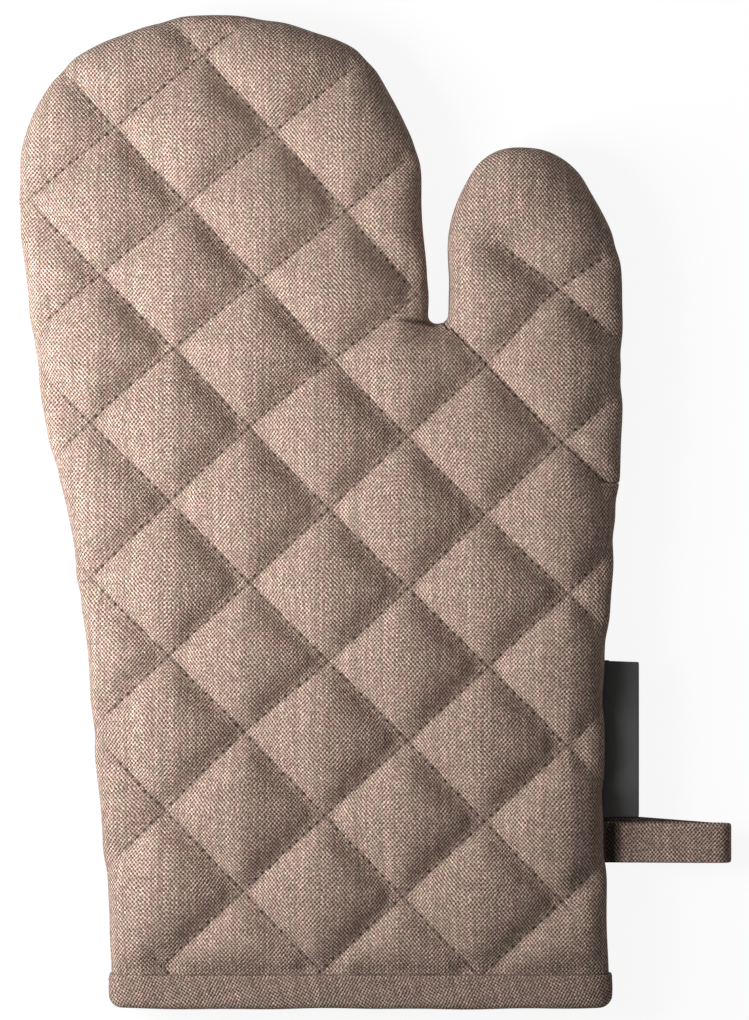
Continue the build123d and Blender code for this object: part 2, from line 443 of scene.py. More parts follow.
def segment_distance(points, ends):
    """Distance to a straight segment, and the share walked along it."""
    start, end = np.array(ends[0]), np.array(ends[1])
    share = np.clip((points - start) @ (end - start) / ((end - start) @ (end - start)), 0.0, 1.0)
    return np.linalg.norm(points - start - share[:, None] * (end - start), axis=1), share


def across_fold(points, ends):
    """Distance to the left of a straight fold, and the share walked along it, without limits."""
    start, end = np.array(ends[0]), np.array(ends[1])
    ahead = unit(end - start)
    reach = points - start
    aside = ahead[0] * reach[:, 1] - ahead[1] * reach[:, 0]
    return np.column_stack([aside, reach @ ahead / np.linalg.norm(end - start)])


def split_start():
    """Mesh steps along the row that cuts off the thumb, where the run from the slot's corner meets it."""
    return round(plan_to_rows(split_corner)[0] * steps_per_side) + split_lead


def split_foot():
    """The plan point where they meet."""
    return rows_to_plan(np.array([split_start() / steps_per_side, split_row]))


def on_thumb(plan):
    """Which plan points lie on the thumb's side of the cut."""
    plan = np.asarray(plan)
    foot = split_foot()
    run = foot - split_corner
    reach = plan - split_corner
    right_of_run = run[0] * reach[..., 1] - run[1] * reach[..., 0] > 0
    past_foot = plan[..., 0] > foot[0]
    right = np.where(plan[..., 1] > split_corner[1], plan[..., 0] > slot_middle, past_foot | right_of_run)
    return right & (plan_to_rows(plan)[..., 1] < split_row)


class Layout:
    """Mesh of one panel in its flat layout, shared by every cloth of the front and the back."""

    cuff_end = 2.4  # lower edge of the cloths, inside the binding
    ring_depth = 3.9  # where the rim's columns meet the quilted field
    clearance = 0.7 * grid_step  # field points keep this far from the ring
    round_samples = 400
    field_corners = [(x, y) for x in (-120.0, 100.0) for y in (-10.0, 310.0)]  # they hold the whole outline
    inside_only = 1  # triangles are kept inside the ring only
    weld = 1e-6

    def __init__(self):
        self.rim = sizes().rim_width / mm
        self.rim_inset = sizes().rim_inset / mm
        self.lay_rim()
        self.lay_field()
        self.measure()

    def rim_profile(self, angle):
        """Plan inset and rise of the rim's round at an angle from its widest line."""
        reach = self.rim - self.rim_inset
        inset = self.rim_inset + reach * (1 - np.cos(angle))
        return inset, (sizes().belly_rise + sizes().rim_rise * np.sin(angle)) / mm

    def lay_rim(self):
        """Columns of points from the side seam up to the field's ring."""
        lowest = -math.asin(sizes().belly_rise / sizes().rim_rise)
        highest = math.acos(1 - (self.ring_depth - self.rim_inset) / (self.rim - self.rim_inset))
        angles = np.linspace(lowest, highest, self.round_samples)
        section = np.stack(self.rim_profile(angles), axis=1)
        walked, places = evenly(section, grid_step)
        self.angles = np.interp(places, walked, angles)
        self.rim_reach = walked[-1] - places
        points, inward = outline()
        kept = points[:, 1] >= self.cuff_end
        points, inward = points[kept], inward[kept]
        ring = points + inward * self.ring_depth
        walked, places = evenly(ring, grid_step)
        self.edge = along(walked, points, places)
        self.edge_inward = unit(along(walked, inward, places))
        self.ring = self.edge + self.edge_inward * self.ring_depth

    def lay_field(self):
        """Points of the quilted field on a grid that follows the rows, joined into triangles."""
        counts, plan, run = self.field_grid()
        bottom = between(self.ring[-1], self.ring[0])
        run_points = between(*run)
        points = np.concatenate([self.ring, bottom, run_points, plan])
        ring_total = len(self.ring) + len(bottom)
        field_first = ring_total + len(run_points)
        edges = [(number, (number + 1) % ring_total) for number in range(ring_total)]
        self.row_point = {tuple(pair): field_first + n for n, pair in enumerate(counts.astype(int))}
        ring_start = nearest_number(self.edge, split_corner)
        walk = [ring_start] + list(range(ring_total, field_first))
        place = split_start()
        while (place, split_row * steps_per_side) in self.row_point:
            walk.append(self.row_point[place, split_row * steps_per_side])
            place += 1
        ring_end = nearest_number(self.ring, points[walk[-1]])
        walk.append(ring_end)
        edges += list(zip(walk, walk[1:]))
        found = delaunay_2d_cdt([Vector(p) for p in points], edges, [], self.inside_only, self.weld)
        source = [origins[0] for origins in found[3]]
        field = np.array([[source[corner] for corner in face] for face in found[2]])
        self.field_total = len(points)
        self.field_points = points
        self.rings = len(self.angles) - 1
        self.columns = len(self.ring)
        self.triangles = np.concatenate([field, self.rim_triangles()])
        self.split_ends = (ring_start, ring_end)

    def field_grid(self):
        """Mesh steps and plan points of the field's grid, and the run that cuts off the thumb."""
        corners = plan_to_rows(np.array(self.field_corners))
        low = np.floor(corners.min(axis=0) - 1) * steps_per_side
        high = np.ceil(corners.max(axis=0) + 1) * steps_per_side
        steps = [np.arange(start, end) for start, end in zip(low, high)]
        counts = np.stack(np.meshgrid(*steps, indexing="ij"), axis=-1).reshape(-1, 2)
        plan = rows_to_plan(counts / steps_per_side)
        above = plan[:, 1] > self.cuff_end + self.clearance
        counts, plan = counts[above], plan[above]
        run = (self.ring[nearest_number(self.edge, split_corner)], split_foot())
        on_run = (counts[:, 0] == split_start()) & (counts[:, 1] == split_row * steps_per_side)
        kept = inside(plan)[0] > self.ring_depth + self.clearance
        kept &= (segment_distance(plan, run)[0] > self.clearance) | on_run
        return counts[kept], plan[kept], run

    def rim_triangles(self):
        """Triangles of the rim; its uppermost ring belongs to the field."""
        starts = self.field_total + np.arange(self.rings) * self.columns
        starts = np.append(starts, 0)
        made = []
        for ring in range(self.rings):
            for column in range(self.columns - 1):
                a, b = starts[ring] + column, starts[ring] + column + 1
                c, d = starts[ring + 1] + column + 1, starts[ring + 1] + column
                if (ring + column) % 2:
                    made += [(a, b, c), (a, c, d)]
                else:
                    made += [(a, b, d), (b, c, d)]
        return np.array(made)

    def measure(self):
        """Depth, round and flat place of every point."""
        depth, inward = inside(self.field_points)
        depth[: self.columns] = self.ring_depth
        inward[: self.columns] = self.edge_inward
        angle = np.arccos(np.clip(1 - (depth - self.rim_inset) / (self.rim - self.rim_inset), 0.0, 1.0))
        plan, flat = [self.field_points], [self.field_points]
        depths, inwards, angles = [depth], [inward], [angle]
        for ring in range(self.rings):
            inset = self.rim_profile(self.angles[ring])[0]
            plan.append(self.edge + self.edge_inward * inset)
            flat.append(self.ring - self.edge_inward * self.rim_reach[ring])
            depths.append(np.full(self.columns, inset))
            inwards.append(self.edge_inward)
            angles.append(np.full(self.columns, self.angles[ring]))
        self.plan = np.concatenate(plan)
        self.flat = np.concatenate(flat)
        self.depth = np.concatenate(depths)
        self.inward = np.concatenate(inwards)
        self.angle = np.concatenate(angles)
        self.rise = self.rim_profile(self.angle)[1]
        self.rows = plan_to_rows(self.flat)
        self.seam = np.arange(self.field_total, self.field_total + self.columns)
        counts = np.full((len(self.plan), 2), 0.5)
        for pair, number in self.row_point.items():
            counts[number] = pair
        x, y = self.flat.T
        bare = (x > slot_middle) & (self.rows[:, 0] < thumb_tip_row)
        for aside, below in bare_corners:
            bare |= (x / aside > 1.0) & (y < below)
        self.sewn = ~bare
        self.row_shade_strength = self.sewn * (rim_share + (1 - rim_share) * fade_in(self.depth, *rim_fade))
        self.gap = np.where(self.sewn, row_distance(self.rows), np.inf)
        on_row = (np.mod(counts, steps_per_side) == 0) & self.sewn[:, None]
        self.on_row = on_row.any(axis=1)
        walked = np.where(on_row[:, 0], counts[:, 1], counts[:, 0])
        self.hole = self.on_row & (np.mod(walked, 2) == 0)
        on_rim = self.triangles >= self.field_total
        column = np.where(on_rim, (self.triangles - self.field_total) % self.columns, self.triangles)
        column = column.min(axis=1)
        low, high = sorted(self.split_ends)
        field_thumb = on_thumb(self.plan[self.triangles].mean(axis=1))
        self.thumb_face = np.where(on_rim.any(axis=1), (column >= low) & (column < high), field_thumb)


@lru_cache(None)
def layout():
    """The layout, made once."""
    return Layout()


# Cloth simulation


def gather(total, places, values):
    """Sum of vectors at numbered places."""
    return np.stack([np.bincount(places, values[:, axis], total) for axis in range(3)], axis=1)


class Cloth:
    """A cloth of triangles whose edges keep their length while wadding pushes it outwards."""

    damping = 0.93
    push = 0.0012  # speed gained in each round, in millimetres a round
    relax = 1.25  # how far a round overdoes the pull of the edges
    stiffness = 0.06  # resistance to sharp bends
    turn_every = 8  # rounds after which the outward directions are found again

    def __init__(self, start, triangles, excess):
        self.place = start.copy()
        self.before = start.copy()
        self.triangles = triangles
        pairs = np.concatenate([triangles[:, [0, 1]], triangles[:, [1, 2]], triangles[:, [2, 0]]])
        self.pairs = np.unique(np.sort(pairs, axis=1), axis=0)
        self.total = len(start)
        self.ends = self.pairs.T.ravel()
        self.valence = np.bincount(self.ends, minlength=self.total)[:, None]
        self.excess = excess

    def set_lengths(self, base):
        """Edge lengths from a base shape, longer by the excess."""
        one, other = self.pairs.T
        lengths = np.linalg.norm(base[one] - base[other], axis=1)
        self.lengths = lengths * (1 + (self.excess[one] + self.excess[other]) / 2)

    def normals(self):
        """Outward directions at the points, longer where the triangles are larger."""
        a, b, c = (self.place[self.triangles[:, corner]] for corner in range(3))
        faces = np.cross(b - a, c - a)
        return gather(self.total, self.triangles.T.ravel(), np.tile(faces, (3, 1)))

    def spread(self, values):
        """Difference between each point's neighbours and itself."""
        one, other = self.pairs.T
        swapped = np.concatenate([values[other], values[one]])
        return gather(self.total, self.ends, swapped) / self.valence - values

    def run(self, rounds, hold):
        """Lets the cloth settle; hold puts back what is sewn or pressed."""
        one, other = self.pairs.T
        for number in range(rounds):
            if number % self.turn_every == 0:
                outward = unit(self.normals())
            step = (self.place - self.before) * self.damping + outward * self.push
            self.before = self.place
            self.place = self.place + step
            reach = self.place[other] - self.place[one]
            length = np.linalg.norm(reach, axis=1, keepdims=True)
            pull = reach * (0.5 * (1 - self.lengths[:, None] / length))
            moves = gather(self.total, self.ends, np.concatenate([pull, -pull]))
            self.place = self.place + self.relax * moves / self.valence
            self.place = self.place - self.stiffness * self.spread(self.spread(self.place))
            self.place = hold(self.place)


def cuff_level(side):
    """Rise of a panel inside the binding."""
    return (sizes().cuff_front if side == "front" else sizes().cuff_back) / mm


def panel_rise():
    """Rise of a panel's rows above the side seam."""
    return (sizes().belly_rise + sizes().rim_rise) / mm


def cuff_ease(y, share):
    """Share of a cloth's rise at a height above the cuff's edge: a given share inside the binding."""
    height = sizes().binding_height / mm
    return share + (1 - share) * fade_in(y, height, rise_share * height)


def pillow(rows):
    """A smooth mound on every diamond, 0 on the rows and 1 in the middle."""
    return np.abs(np.sin(math.pi * rows[:, 0]) * np.sin(math.pi * rows[:, 1]))


def sway(plan):
    """Slow rise and fall of a panel, in millimetres."""
    x, y = plan.T
    wave = np.sin(x / sway_across + np.sin(y / sway_bend)) * np.cos(y / sway_up + sway_up_start)
    wave += slant_sway * np.sin(x / slant_sway_across - y / slant_sway_up + slant_sway_start)
    return sway_height * (1.0 + wave / (1.0 + slant_sway))


def pillow_draw(rows, seed):
    """A seeded number from 0 to 1 for the diamond that each point lies on."""
    generator = np.random.default_rng(seed)
    draws = generator.random((draw_cells, draw_cells))
    cells = np.floor(rows).astype(int) + draw_cells // 2
    return draws[cells[:, 0] % draw_cells, cells[:, 1] % draw_cells]


def cuff_drawn(plan):
    """How far the binding draws in the little-finger side of the cuff, in millimetres."""
    return cuff_narrow * (1 - fade_in(plan.depth, *cuff_narrow_fade)) * (plan.plan[:, 0] < 0)


def quilt_base(side):
    """Level of a panel's rows, drawn in where they end at the edge, and the outward directions there."""
    plan = layout()
    ease = cuff_ease(plan.plan[:, 1], cuff_level(side) / panel_rise())
    base = np.column_stack([plan.plan, plan.rise * ease])
    above_cuff = fade_in(plan.plan[:, 1], sizes().binding_height / mm, quilt_ease)
    lift = (sway(plan.plan) + row_lift) * (1 - near_crossing(plan.rows) * plan.sewn)
    base[:, 2] += lift * fade_in(plan.depth, *sway_fade) * above_cuff
    drawn = notch_depth * np.exp(-(plan.gap / notch_width) ** 2) - edge_swell
    drawn = drawn * (1 - fade_in(plan.depth, *notch_fade)) * above_cuff
    drawn += cuff_drawn(plan) * (1 - above_cuff)
    base[:, :2] += plan.inward * drawn[:, None]
    aside = np.cos(plan.angle) / (plan.rim - plan.rim_inset)
    up = np.sin(plan.angle) / (sizes().rim_rise / mm)
    return base, unit(np.column_stack([-plan.inward * aside[:, None], up]))


@lru_cache(None)
def quilted(side):
    """Points and outward directions of a quilted panel, in millimetres above the side seam's level."""
    plan = layout()
    base, outwards = quilt_base(side)
    uneven = 1 + fullness_spread * (pillow_draw(plan.rows, seed=len(side)) - 0.5)
    excess = rim_fullness + sizes().fullness * uneven * fade_in(plan.depth, *fullness_fade)
    held = plan.plan[:, 1] < sizes().binding_height / mm
    held[plan.seam] = True
    gap = plan.gap
    for crease in slot_creases:
        away, share = segment_distance(plan.plan, crease)
        gap = np.minimum(gap, away + crease_end_gap * share ** 2)
    cap = cap_low + cap_rise * (1 - (1 - np.clip(gap / cap_reach, 0.0, 1.0)) ** 2)
    cap = np.where(plan.on_row, sizes().stitch_slack / mm, cap)
    capped = plan.on_row | (plan.depth < cap_depth) | (gap < plan.gap)
    pinned = (held | plan.hole)[:, None]
    sunk = base - outwards * (sizes().stitch_sink / mm)
    rest = np.where(plan.hole[:, None] & ~held[:, None], sunk, base)
    lid = (seam_level - sizes().table_gap) / mm if side == "back" else open_height

    def hold(place):
        """Puts back the sewn points, and presses down what stands above its cap."""
        high = ((place - base) * outwards).sum(axis=1)
        over = np.where(capped, np.maximum(high - cap, 0.0), 0.0)
        place = place - outwards * over[:, None]
        place[:, 2] = np.minimum(place[:, 2], lid)
        return np.where(pinned, rest, place)

    mound = mound_height * pillow(plan.rows) ** mound_power * fade_in(plan.depth, *mound_fade)
    start = hold(base + outwards * mound[:, None])
    cloth = Cloth(start, plan.triangles, excess)
    cloth.set_lengths(base)
    cloth.run(sizes().rounds, hold)
    cloth.place = hold(cloth.place)
    return cloth.place, unit(cloth.normals())


@lru_cache(None)
def lining_points(side):
    """Points of the lining's outer face, on the same layout and in the same way as the panel's."""
    plan = layout()
    lowest = plan.angles[0]
    angle = (plan.angle - lowest) / (math.pi / 2 - lowest) * math.pi / 2
    inset = sizes().lining_inset / mm + lining_round * (1 - np.cos(angle))
    top_shift = sizes().lining_inset / mm + lining_round - plan.rim
    fading = top_shift * (1 - (plan.depth - plan.rim) / (lining_straight - plan.rim))
    shift = np.where(plan.depth < plan.rim, inset - plan.depth, np.clip(fading, 0.0, None))
    bulge = lining_bulge * pillow(plan.rows) ** lining_bulge_power
    bulge = bulge * fade_in(plan.depth, *lining_bulge_fade)
    rise = sizes().lining_rise / mm * np.sin(angle) - bulge
    hand_space = np.column_stack([plan.plan + plan.inward * shift[:, None], rise])
    level = cuff_level(side) / panel_rise()
    facing = np.column_stack([
        sizes().rim_rise / mm * level * np.cos(plan.angle),
        (plan.rim - plan.rim_inset) * np.clip(np.sin(plan.angle), 0.0, None)])
    facing = unit(facing) * sizes().cuff_wall / mm
    moved = plan.inward * (facing[:, 0] + cuff_drawn(plan))[:, None]
    in_binding = np.column_stack([plan.plan + moved, plan.rise * level - facing[:, 1]])
    share = fade_in(plan.plan[:, 1], sizes().binding_height / mm, lining_ease)[:, None]
    return in_binding + (hand_space - in_binding) * share


def turned(points, side):
    """Panel points in millimetres, as metres in the frame on their own side of the seam."""
    turn = 1.0 if side == "front" else -1.0
    return np.column_stack([to_frame(points[:, :2]), seam_level + turn * points[:, 2] * mm])


@lru_cache(None)
def zone_faces(zone):
    """Faces of the hand's or the thumb's part of a panel, joined into four-sided ones."""
    plan = layout()
    chosen = plan.triangles[plan.thumb_face == (zone == "thumb")]
    base = np.column_stack([plan.plan, plan.rise])
    bm = bmesh.new()
    number = bm.verts.layers.int.new("number")
    made = {}
    for place in np.unique(chosen):
        made[place] = bm.verts.new(base[place])
        made[place][number] = int(place)
    for corners in chosen:
        bm.faces.new([made[corner] for corner in corners])
    bm.normal_update()
    bmesh.ops.join_triangles(
        bm, faces=bm.faces[:], angle_face_threshold=join_angle, angle_shape_threshold=join_angle)
    faces = [[corner[number] for corner in face.verts] for face in bm.faces]
    bm.free()
    return faces


# Pieces and finishes


class Value:
    """A shader socket that takes part in sums."""

    def __init__(self, finish, socket):
        self.finish = finish
        self.socket = socket

    def __add__(self, other):
        return self.finish.math("ADD", self, other)

    def __sub__(self, other):
        return self.finish.math("SUBTRACT", self, other)

    def __mul__(self, other):
        return self.finish.math("MULTIPLY", self, other)

    def __truediv__(self, other):
        return self.finish.math("DIVIDE", self, other)

    def __pow__(self, other):
        return self.finish.math("POWER", self, other)

    def __rsub__(self, other):
        return self.finish.math("SUBTRACT", other, self)

    def __rtruediv__(self, other):
        return self.finish.math("DIVIDE", other, self)

    __radd__ = __add__
    __rmul__ = __mul__


class Finish:
    """A material whose shader is written as sums of values."""

    def __init__(self, name):
        self.material = bpy.data.materials.new(name)
        self.material.use_nodes = True
        self.tree = self.material.node_tree
        self.tree.nodes.clear()

    def node(self, kind, settings=None, sockets=None):
        """Adds a node: its settings first, then the values or links of its sockets."""
        made = self.tree.nodes.new(kind)
        for name, value in (settings or {}).items():
            setattr(made, name, value)
        for name, value in (sockets or {}).items():
            if isinstance(value, Value):
                self.tree.links.new(value.socket, made.inputs[name])
            else:
                made.inputs[name].default_value = value
        return made

    def value(self, kind, settings=None, sockets=None, output=0):
        """Adds a node and gives one of its outputs."""
        return Value(self, self.node(kind, settings, sockets).outputs[output])

    def math(self, operation, *values):
        """Adds a Math node."""
        return self.value("ShaderNodeMath", {"operation": operation}, dict(enumerate(values)))

    def mix(self, factor, first, second, blend="MIX"):
        """Mixes two colours."""
        settings = {"data_type": "RGBA", "blend_type": blend}
        return self.value("ShaderNodeMix", settings, {0: factor, 6: first, 7: second}, output=2)

    def shaded(self, colour, shading):
        """A colour, lighter or darker by a value."""
        grey = self.value("ShaderNodeCombineColor", None, {0: shading, 1: shading, 2: shading})
        return self.mix(1.0, colour, grey, "MULTIPLY")

    def limit(self, value):
        """A value kept from 0 to 1."""
        return self.math("MINIMUM", self.math("MAXIMUM", value, 0.0), 1.0)

    def near(self, distance, width):
        """1 at no distance, falling to 0 at a width to either side."""
        return self.math("MAXIMUM", 1.0 - self.math("ABSOLUTE", distance) / width, 0.0)

    def vary(self, value, spread):
        """A value from 0 to 1, as one that varies about 1 by a spread."""
        return value * spread + (1.0 - spread / 2)

    def noise(self, where, scale, detail=2.0, rough=0.5):
        """Soft noise from 0 to 1."""
        sockets = {"Vector": where, "Scale": scale, "Detail": detail, "Roughness": rough}
        return self.value("ShaderNodeTexNoise", {"noise_dimensions": "3D"}, sockets)

    def grain(self, x, y, scales, detail=2.0, rough=0.5):
        """Soft noise over two values, each with its own scale."""
        where = self.value("ShaderNodeCombineXYZ", None, {"X": x * scales[0], "Y": y * scales[1]})
        return self.noise(where, 1.0, detail, rough)

    def map(self, name):
        """One of the piece's maps."""
        return self.value("ShaderNodeUVMap", {"uv_map": name})

    def moved(self, vector, way, amount):
        """A vector turned or shifted."""
        return self.value("ShaderNodeMapping", None, {"Vector": vector, way: amount})

    def parts(self, vector):
        """The first two parts of a vector."""
        made = self.node("ShaderNodeSeparateXYZ", None, {"Vector": vector})
        return Value(self, made.outputs["X"]), Value(self, made.outputs["Y"])

    def draw(self, count):
        """A fixed random value for each whole number."""
        return self.value("ShaderNodeTexWhiteNoise", {"noise_dimensions": "1D"}, {"W": count})

    def cloth(self, base, rough, height, bump_depth, sheen):
        """Ends the shader in cloth of a colour, roughness and relief."""
        sockets = {"Base Color": base, "Roughness": rough, "Sheen Weight": sheen, "Sheen Roughness": 0.5,
                   "Specular IOR Level": 0.2}
        sockets["Normal"] = self.value(
            "ShaderNodeBump", None, {"Strength": 1.0, "Distance": bump_depth, "Height": height})
        shader = self.value("ShaderNodeBsdfPrincipled", None, sockets)
        self.node("ShaderNodeOutputMaterial", None, {"Surface": shader})
        return self.material


def full(colour):
    """A colour with its alpha."""
    return (*colour, 1.0)


shift_draws = (0.3, 0.7)  # keep the draws of the warp's and the weft's shifts apart


def weave(finish, across, up, pitches, jitter=0.0, slant=0.5):
    """A plain weave: which thread lies on top, from -1 to 1, and each thread's number.

    Jitter shifts single threads; a slant other than a half lets one diagonal of the weave stand out.
    """
    warp_count = across / pitches[0]
    weft_count = up / pitches[1]
    warp_number = finish.math("FLOOR", warp_count)
    weft_number = finish.math("FLOOR", weft_count)
    warp_shift = (finish.draw(weft_number + shift_draws[0]) - 0.5) * jitter
    weft_shift = (finish.draw(warp_number + shift_draws[1]) - 0.5) * jitter
    warp_turn = (warp_count + warp_shift) * math.pi
    weft_turn = (weft_count + weft_shift) * math.pi
    rising = finish.math("COSINE", warp_turn - weft_turn)
    falling = finish.math("COSINE", warp_turn + weft_turn)
    return rising * slant - falling * (1.0 - slant), warp_number, weft_number


# Painted shade that the sewing leaves on the panels, in the needle holes, the row creases, the tuck above the
# binding and the slot's fold: sizes in millimetres, and how dark they are
hole_width = 0.45
hole_length = 0.7
hole_stray = 0.35
hole_least = 0.55  # a needle hole's strength, and what its own draw adds
hole_spread = 0.8
hole_edge = 2.0
hole_steps = (211.0, 173.0)  # keep the draws of neighbouring rows apart
hole_dark = 0.75
crease_width = 1.0
crease_dark = 0.3
slot_fold_width = 1.3
slot_fold_dark = 0.75
slot_fold_start = 0.6  # strength at the slot, and how fast it comes in from there and goes out at the far end
slot_fold_in = 9.0
slot_fold_out = 2.2
# Painted shade of the tuck: a dark line where the panel goes under the binding
tuck_width = 0.9 * mm  # dark line where the panel goes under the binding
tuck_scale = 75.0
tuck_spread = 1.8
tuck_least = -0.2
tuck_most = 0.85


def from_nearest(finish, count, gap):
    """Distance to the nearest whole count, where counts lie a gap apart."""
    return (finish.math("FRACT", count + 0.5) - 0.5) * gap


def needle_hole_shade(finish):
    """Painted shade in the needle holes and along the crease of the rows, from the map of rows."""
    counts = finish.parts(finish.map("rows"))
    stitches = [count * stitches_per_side for count in counts]
    stitch_gaps = np.linalg.norm(diamond_sides, axis=1) / stitches_per_side
    beside = [from_nearest(finish, count, float(gap)) for count, gap in zip(counts, row_gaps)]
    between_holes = [from_nearest(finish, count, float(gap)) for count, gap in zip(stitches, stitch_gaps)]
    falling, rising = (finish.math("ROUND", count) for count in stitches)
    strength = finish.draw(falling + rising * hole_steps[0]) * hole_spread + hole_least
    stray = (finish.draw(rising + falling * hole_steps[1]) - 0.5) * hole_stray
    spots = [strength - ((beside[row] + stray) / hole_width) ** 2.0
             - ((between_holes[1 - row] + stray) / hole_length) ** 2.0 for row in (0, 1)]
    spot = finish.math("MAXIMUM", *spots)
    nearest = finish.math("MINIMUM", *(finish.math("ABSOLUTE", way) for way in beside))
    sewn = finish.parts(finish.map("sewn"))[0]
    return finish.limit(spot * hole_edge) * sewn, finish.near(nearest, crease_width) * sewn


def slot_fold_shade(finish):
    """Painted shade of the fold beside the slot's floor, from the map of that fold."""
    aside, share = finish.parts(finish.map("fold"))
    ends = finish.math("MINIMUM", share * slot_fold_in + slot_fold_start, (1.0 - share) * slot_fold_out)
    return finish.near(aside, slot_fold_width) * finish.limit(ends) * slot_fold_dark


def panel_painted_shade(finish, across, up):
    """Painted shade in the needle holes, the creases, the tuck above the binding and the slot's fold, as the
    share of light left.
    """
    hole, crease = needle_hole_shade(finish)
    tuck = finish.near(up - sizes().binding_height, tuck_width)
    uneven = finish.grain(across, 0.0, (tuck_scale, 0.0)) * tuck_spread + tuck_least
    tuck_dark = tuck * finish.math("MINIMUM", uneven, tuck_most)
    sewn = (1.0 - hole * hole_dark) * (1.0 - crease * crease_dark)
    return sewn * (1.0 - tuck_dark) * (1.0 - slot_fold_shade(finish))


# Linen: the pitch of its warp and weft, and how the threads waver, lean, thicken and take the dye
linen_pitches = (0.57 * mm, 0.67 * mm)
waver_reach = 0.9 * mm
waver_scale = 120.0
waver_apart = (0.7, 0.3, 0.1)  # the weft wavers apart from the warp
thread_jitter = 0.25
slant_scale = 90.0
slant_least = 0.2
slant_spread = 0.56
slub_scale = 420.0
slub_apart = 3.7  # from one thread to the next
tone_least = 0.56
tone_draw = 0.32
tone_slub = 0.56
weft_draws = 0.5  # keeps the draws of the weft's tones apart from the warp's
top_sharp = 2.2
top_middle = 0.58
mottle_scales = (300.0, 160.0)
mottle_spread = 0.28
streak_scales = (1100.0, 30.0)
streak_spread = 0.6
fibre_scale = 2600.0
fibre_spread = 1.1
speck_spread = 0.52
speck_step = 57.0  # from the draws of one weft thread to those of the next
tint_scales = (260.0, 130.0)
tint_contrast = 2.0
tint_cool = (0.95, 1.03, 0.97, 1.0)
tint_warm = (1.05, 0.975, 1.02, 1.0)
linen_rough = 0.95
warp_gloss = 0.08
slub_relief = 0.3
linen_relief = 0.1 * mm


@lru_cache(None)
def linen(name="washed_linen", turn=0.0, shade=1.0, painted_shade_marks=None):
    """Washed linen: uneven slubbed threads in a plain weave, mottled along the warp."""
    finish = Finish(name)
    flat = finish.moved(finish.map("flat"), "Rotation", (0.0, 0.0, turn))
    aside = finish.moved(flat, "Location", waver_apart)
    across, up = (straight + (finish.noise(where, waver_scale) - 0.5) * waver_reach
                  for straight, where in zip(finish.parts(flat), (flat, aside)))
    slant = slant_least + finish.noise(flat, slant_scale) * slant_spread
    over, warp_number, weft_number = weave(finish, across, up, linen_pitches, thread_jitter, slant)
    warp_slub = finish.grain(warp_number, up, (slub_apart, slub_scale), detail=1.0)
    weft_slub = finish.grain(across, weft_number, (slub_scale, slub_apart), detail=1.0)
    warp_tone = tone_least + finish.draw(warp_number) * tone_draw + warp_slub * tone_slub
    weft_tone = tone_least + finish.draw(weft_number + weft_draws) * tone_draw + weft_slub * tone_slub
    on_top = finish.limit(over * top_sharp + top_middle)
    shading = weft_tone + (warp_tone - weft_tone) * on_top
    mottle = finish.grain(across, up, mottle_scales, detail=3.0, rough=0.6)
    streak = finish.grain(across, up, streak_scales)
    fibre = finish.noise(flat, fibre_scale, detail=1.0)
    speck = finish.draw(warp_number + weft_number * speck_step)
    shading = shading * finish.vary(mottle, mottle_spread) * finish.vary(streak, streak_spread)
    # The last factor darkens the whole piece by its shade, which is painted shade; the function that the
    # piece gives adds painted shade where it falls
    shading = shading * finish.vary(fibre, fibre_spread) * finish.vary(speck, speck_spread) * shade
    if painted_shade_marks:
        shading = shading * painted_shade_marks(finish, across, up)
    threads = finish.mix(on_top, full(colours().weft), full(colours().warp))
    tint = (finish.grain(across, up, tint_scales) - 0.5) * tint_contrast + 0.5
    threads = finish.mix(1.0, threads, finish.mix(tint, tint_cool, tint_warm), "MULTIPLY")
    height = over * (1.0 + (warp_slub + weft_slub - 1.0) * slub_relief)
    rough = linen_rough - on_top * warp_gloss
    return finish.cloth(finish.shaded(threads, shading), rough, height, linen_relief, sheen=0.05)


# Plain cloths: scale of their mottle, and how their weave shades and smooths them
plain_scale = 240.0
plain_light = 0.9
plain_shade = 0.12
plain_rough = 0.9
plain_gloss = 0.04


def plain_cloth(name, colour, pitch, relief, uneven=0.32):
    """A fine even cloth of one colour on Object coordinates."""
    finish = Finish(name)
    place = finish.value("ShaderNodeTexCoord", output="Object")
    over = weave(finish, *finish.parts(place), (pitch, pitch))[0]
    mottle = finish.vary(finish.noise(place, plain_scale, detail=3.0), uneven)
    base = finish.shaded(full(colour), mottle * (over * plain_shade + plain_light))
    return finish.cloth(base, plain_rough - over * plain_gloss, over, relief, sheen=0.1)


@lru_cache(None)
def lining_cotton():
    """Plain cotton of the lining."""
    return plain_cloth("lining_cotton", colours().lining, pitch=0.4 * mm, relief=0.06 * mm)


@lru_cache(None)
def ribbon():
    """Smooth close-woven ribbon."""
    return plain_cloth("dark_ribbon", colours().ribbon, pitch=0.26 * mm, relief=0.03 * mm, uneven=0.2)


def fibres(name, colour, strands, clumps, light, rough, relief, sheen):
    """Fibres of one colour on Object coordinates: strands that stand up, and larger clumps of them.

    Strands and clumps are each a noise's scale, detail and roughness. Light is a level, and what each
    of the two adds to it. Rough is the roughness, and what the strands take off it.
    """
    finish = Finish(name)
    place = finish.value("ShaderNodeTexCoord", output="Object")
    strand = finish.noise(place, *strands)
    clump = finish.noise(place, *clumps)
    base = finish.shaded(full(colour), light[0] + strand * light[1] + clump * light[2])
    return finish.cloth(base, rough[0] - strand * rough[1], strand, relief, sheen)


@lru_cache(None)
def felt():
    """Matt felt of the wadding."""
    return fibres(
        "wadding_felt", colours().wadding, strands=(1500.0, 4.0, 0.7), clumps=(150.0, 2.0, 0.5),
        light=(0.82, 0.2, 0.1), rough=(0.97, 0.05), relief=0.3 * mm, sheen=0.2)


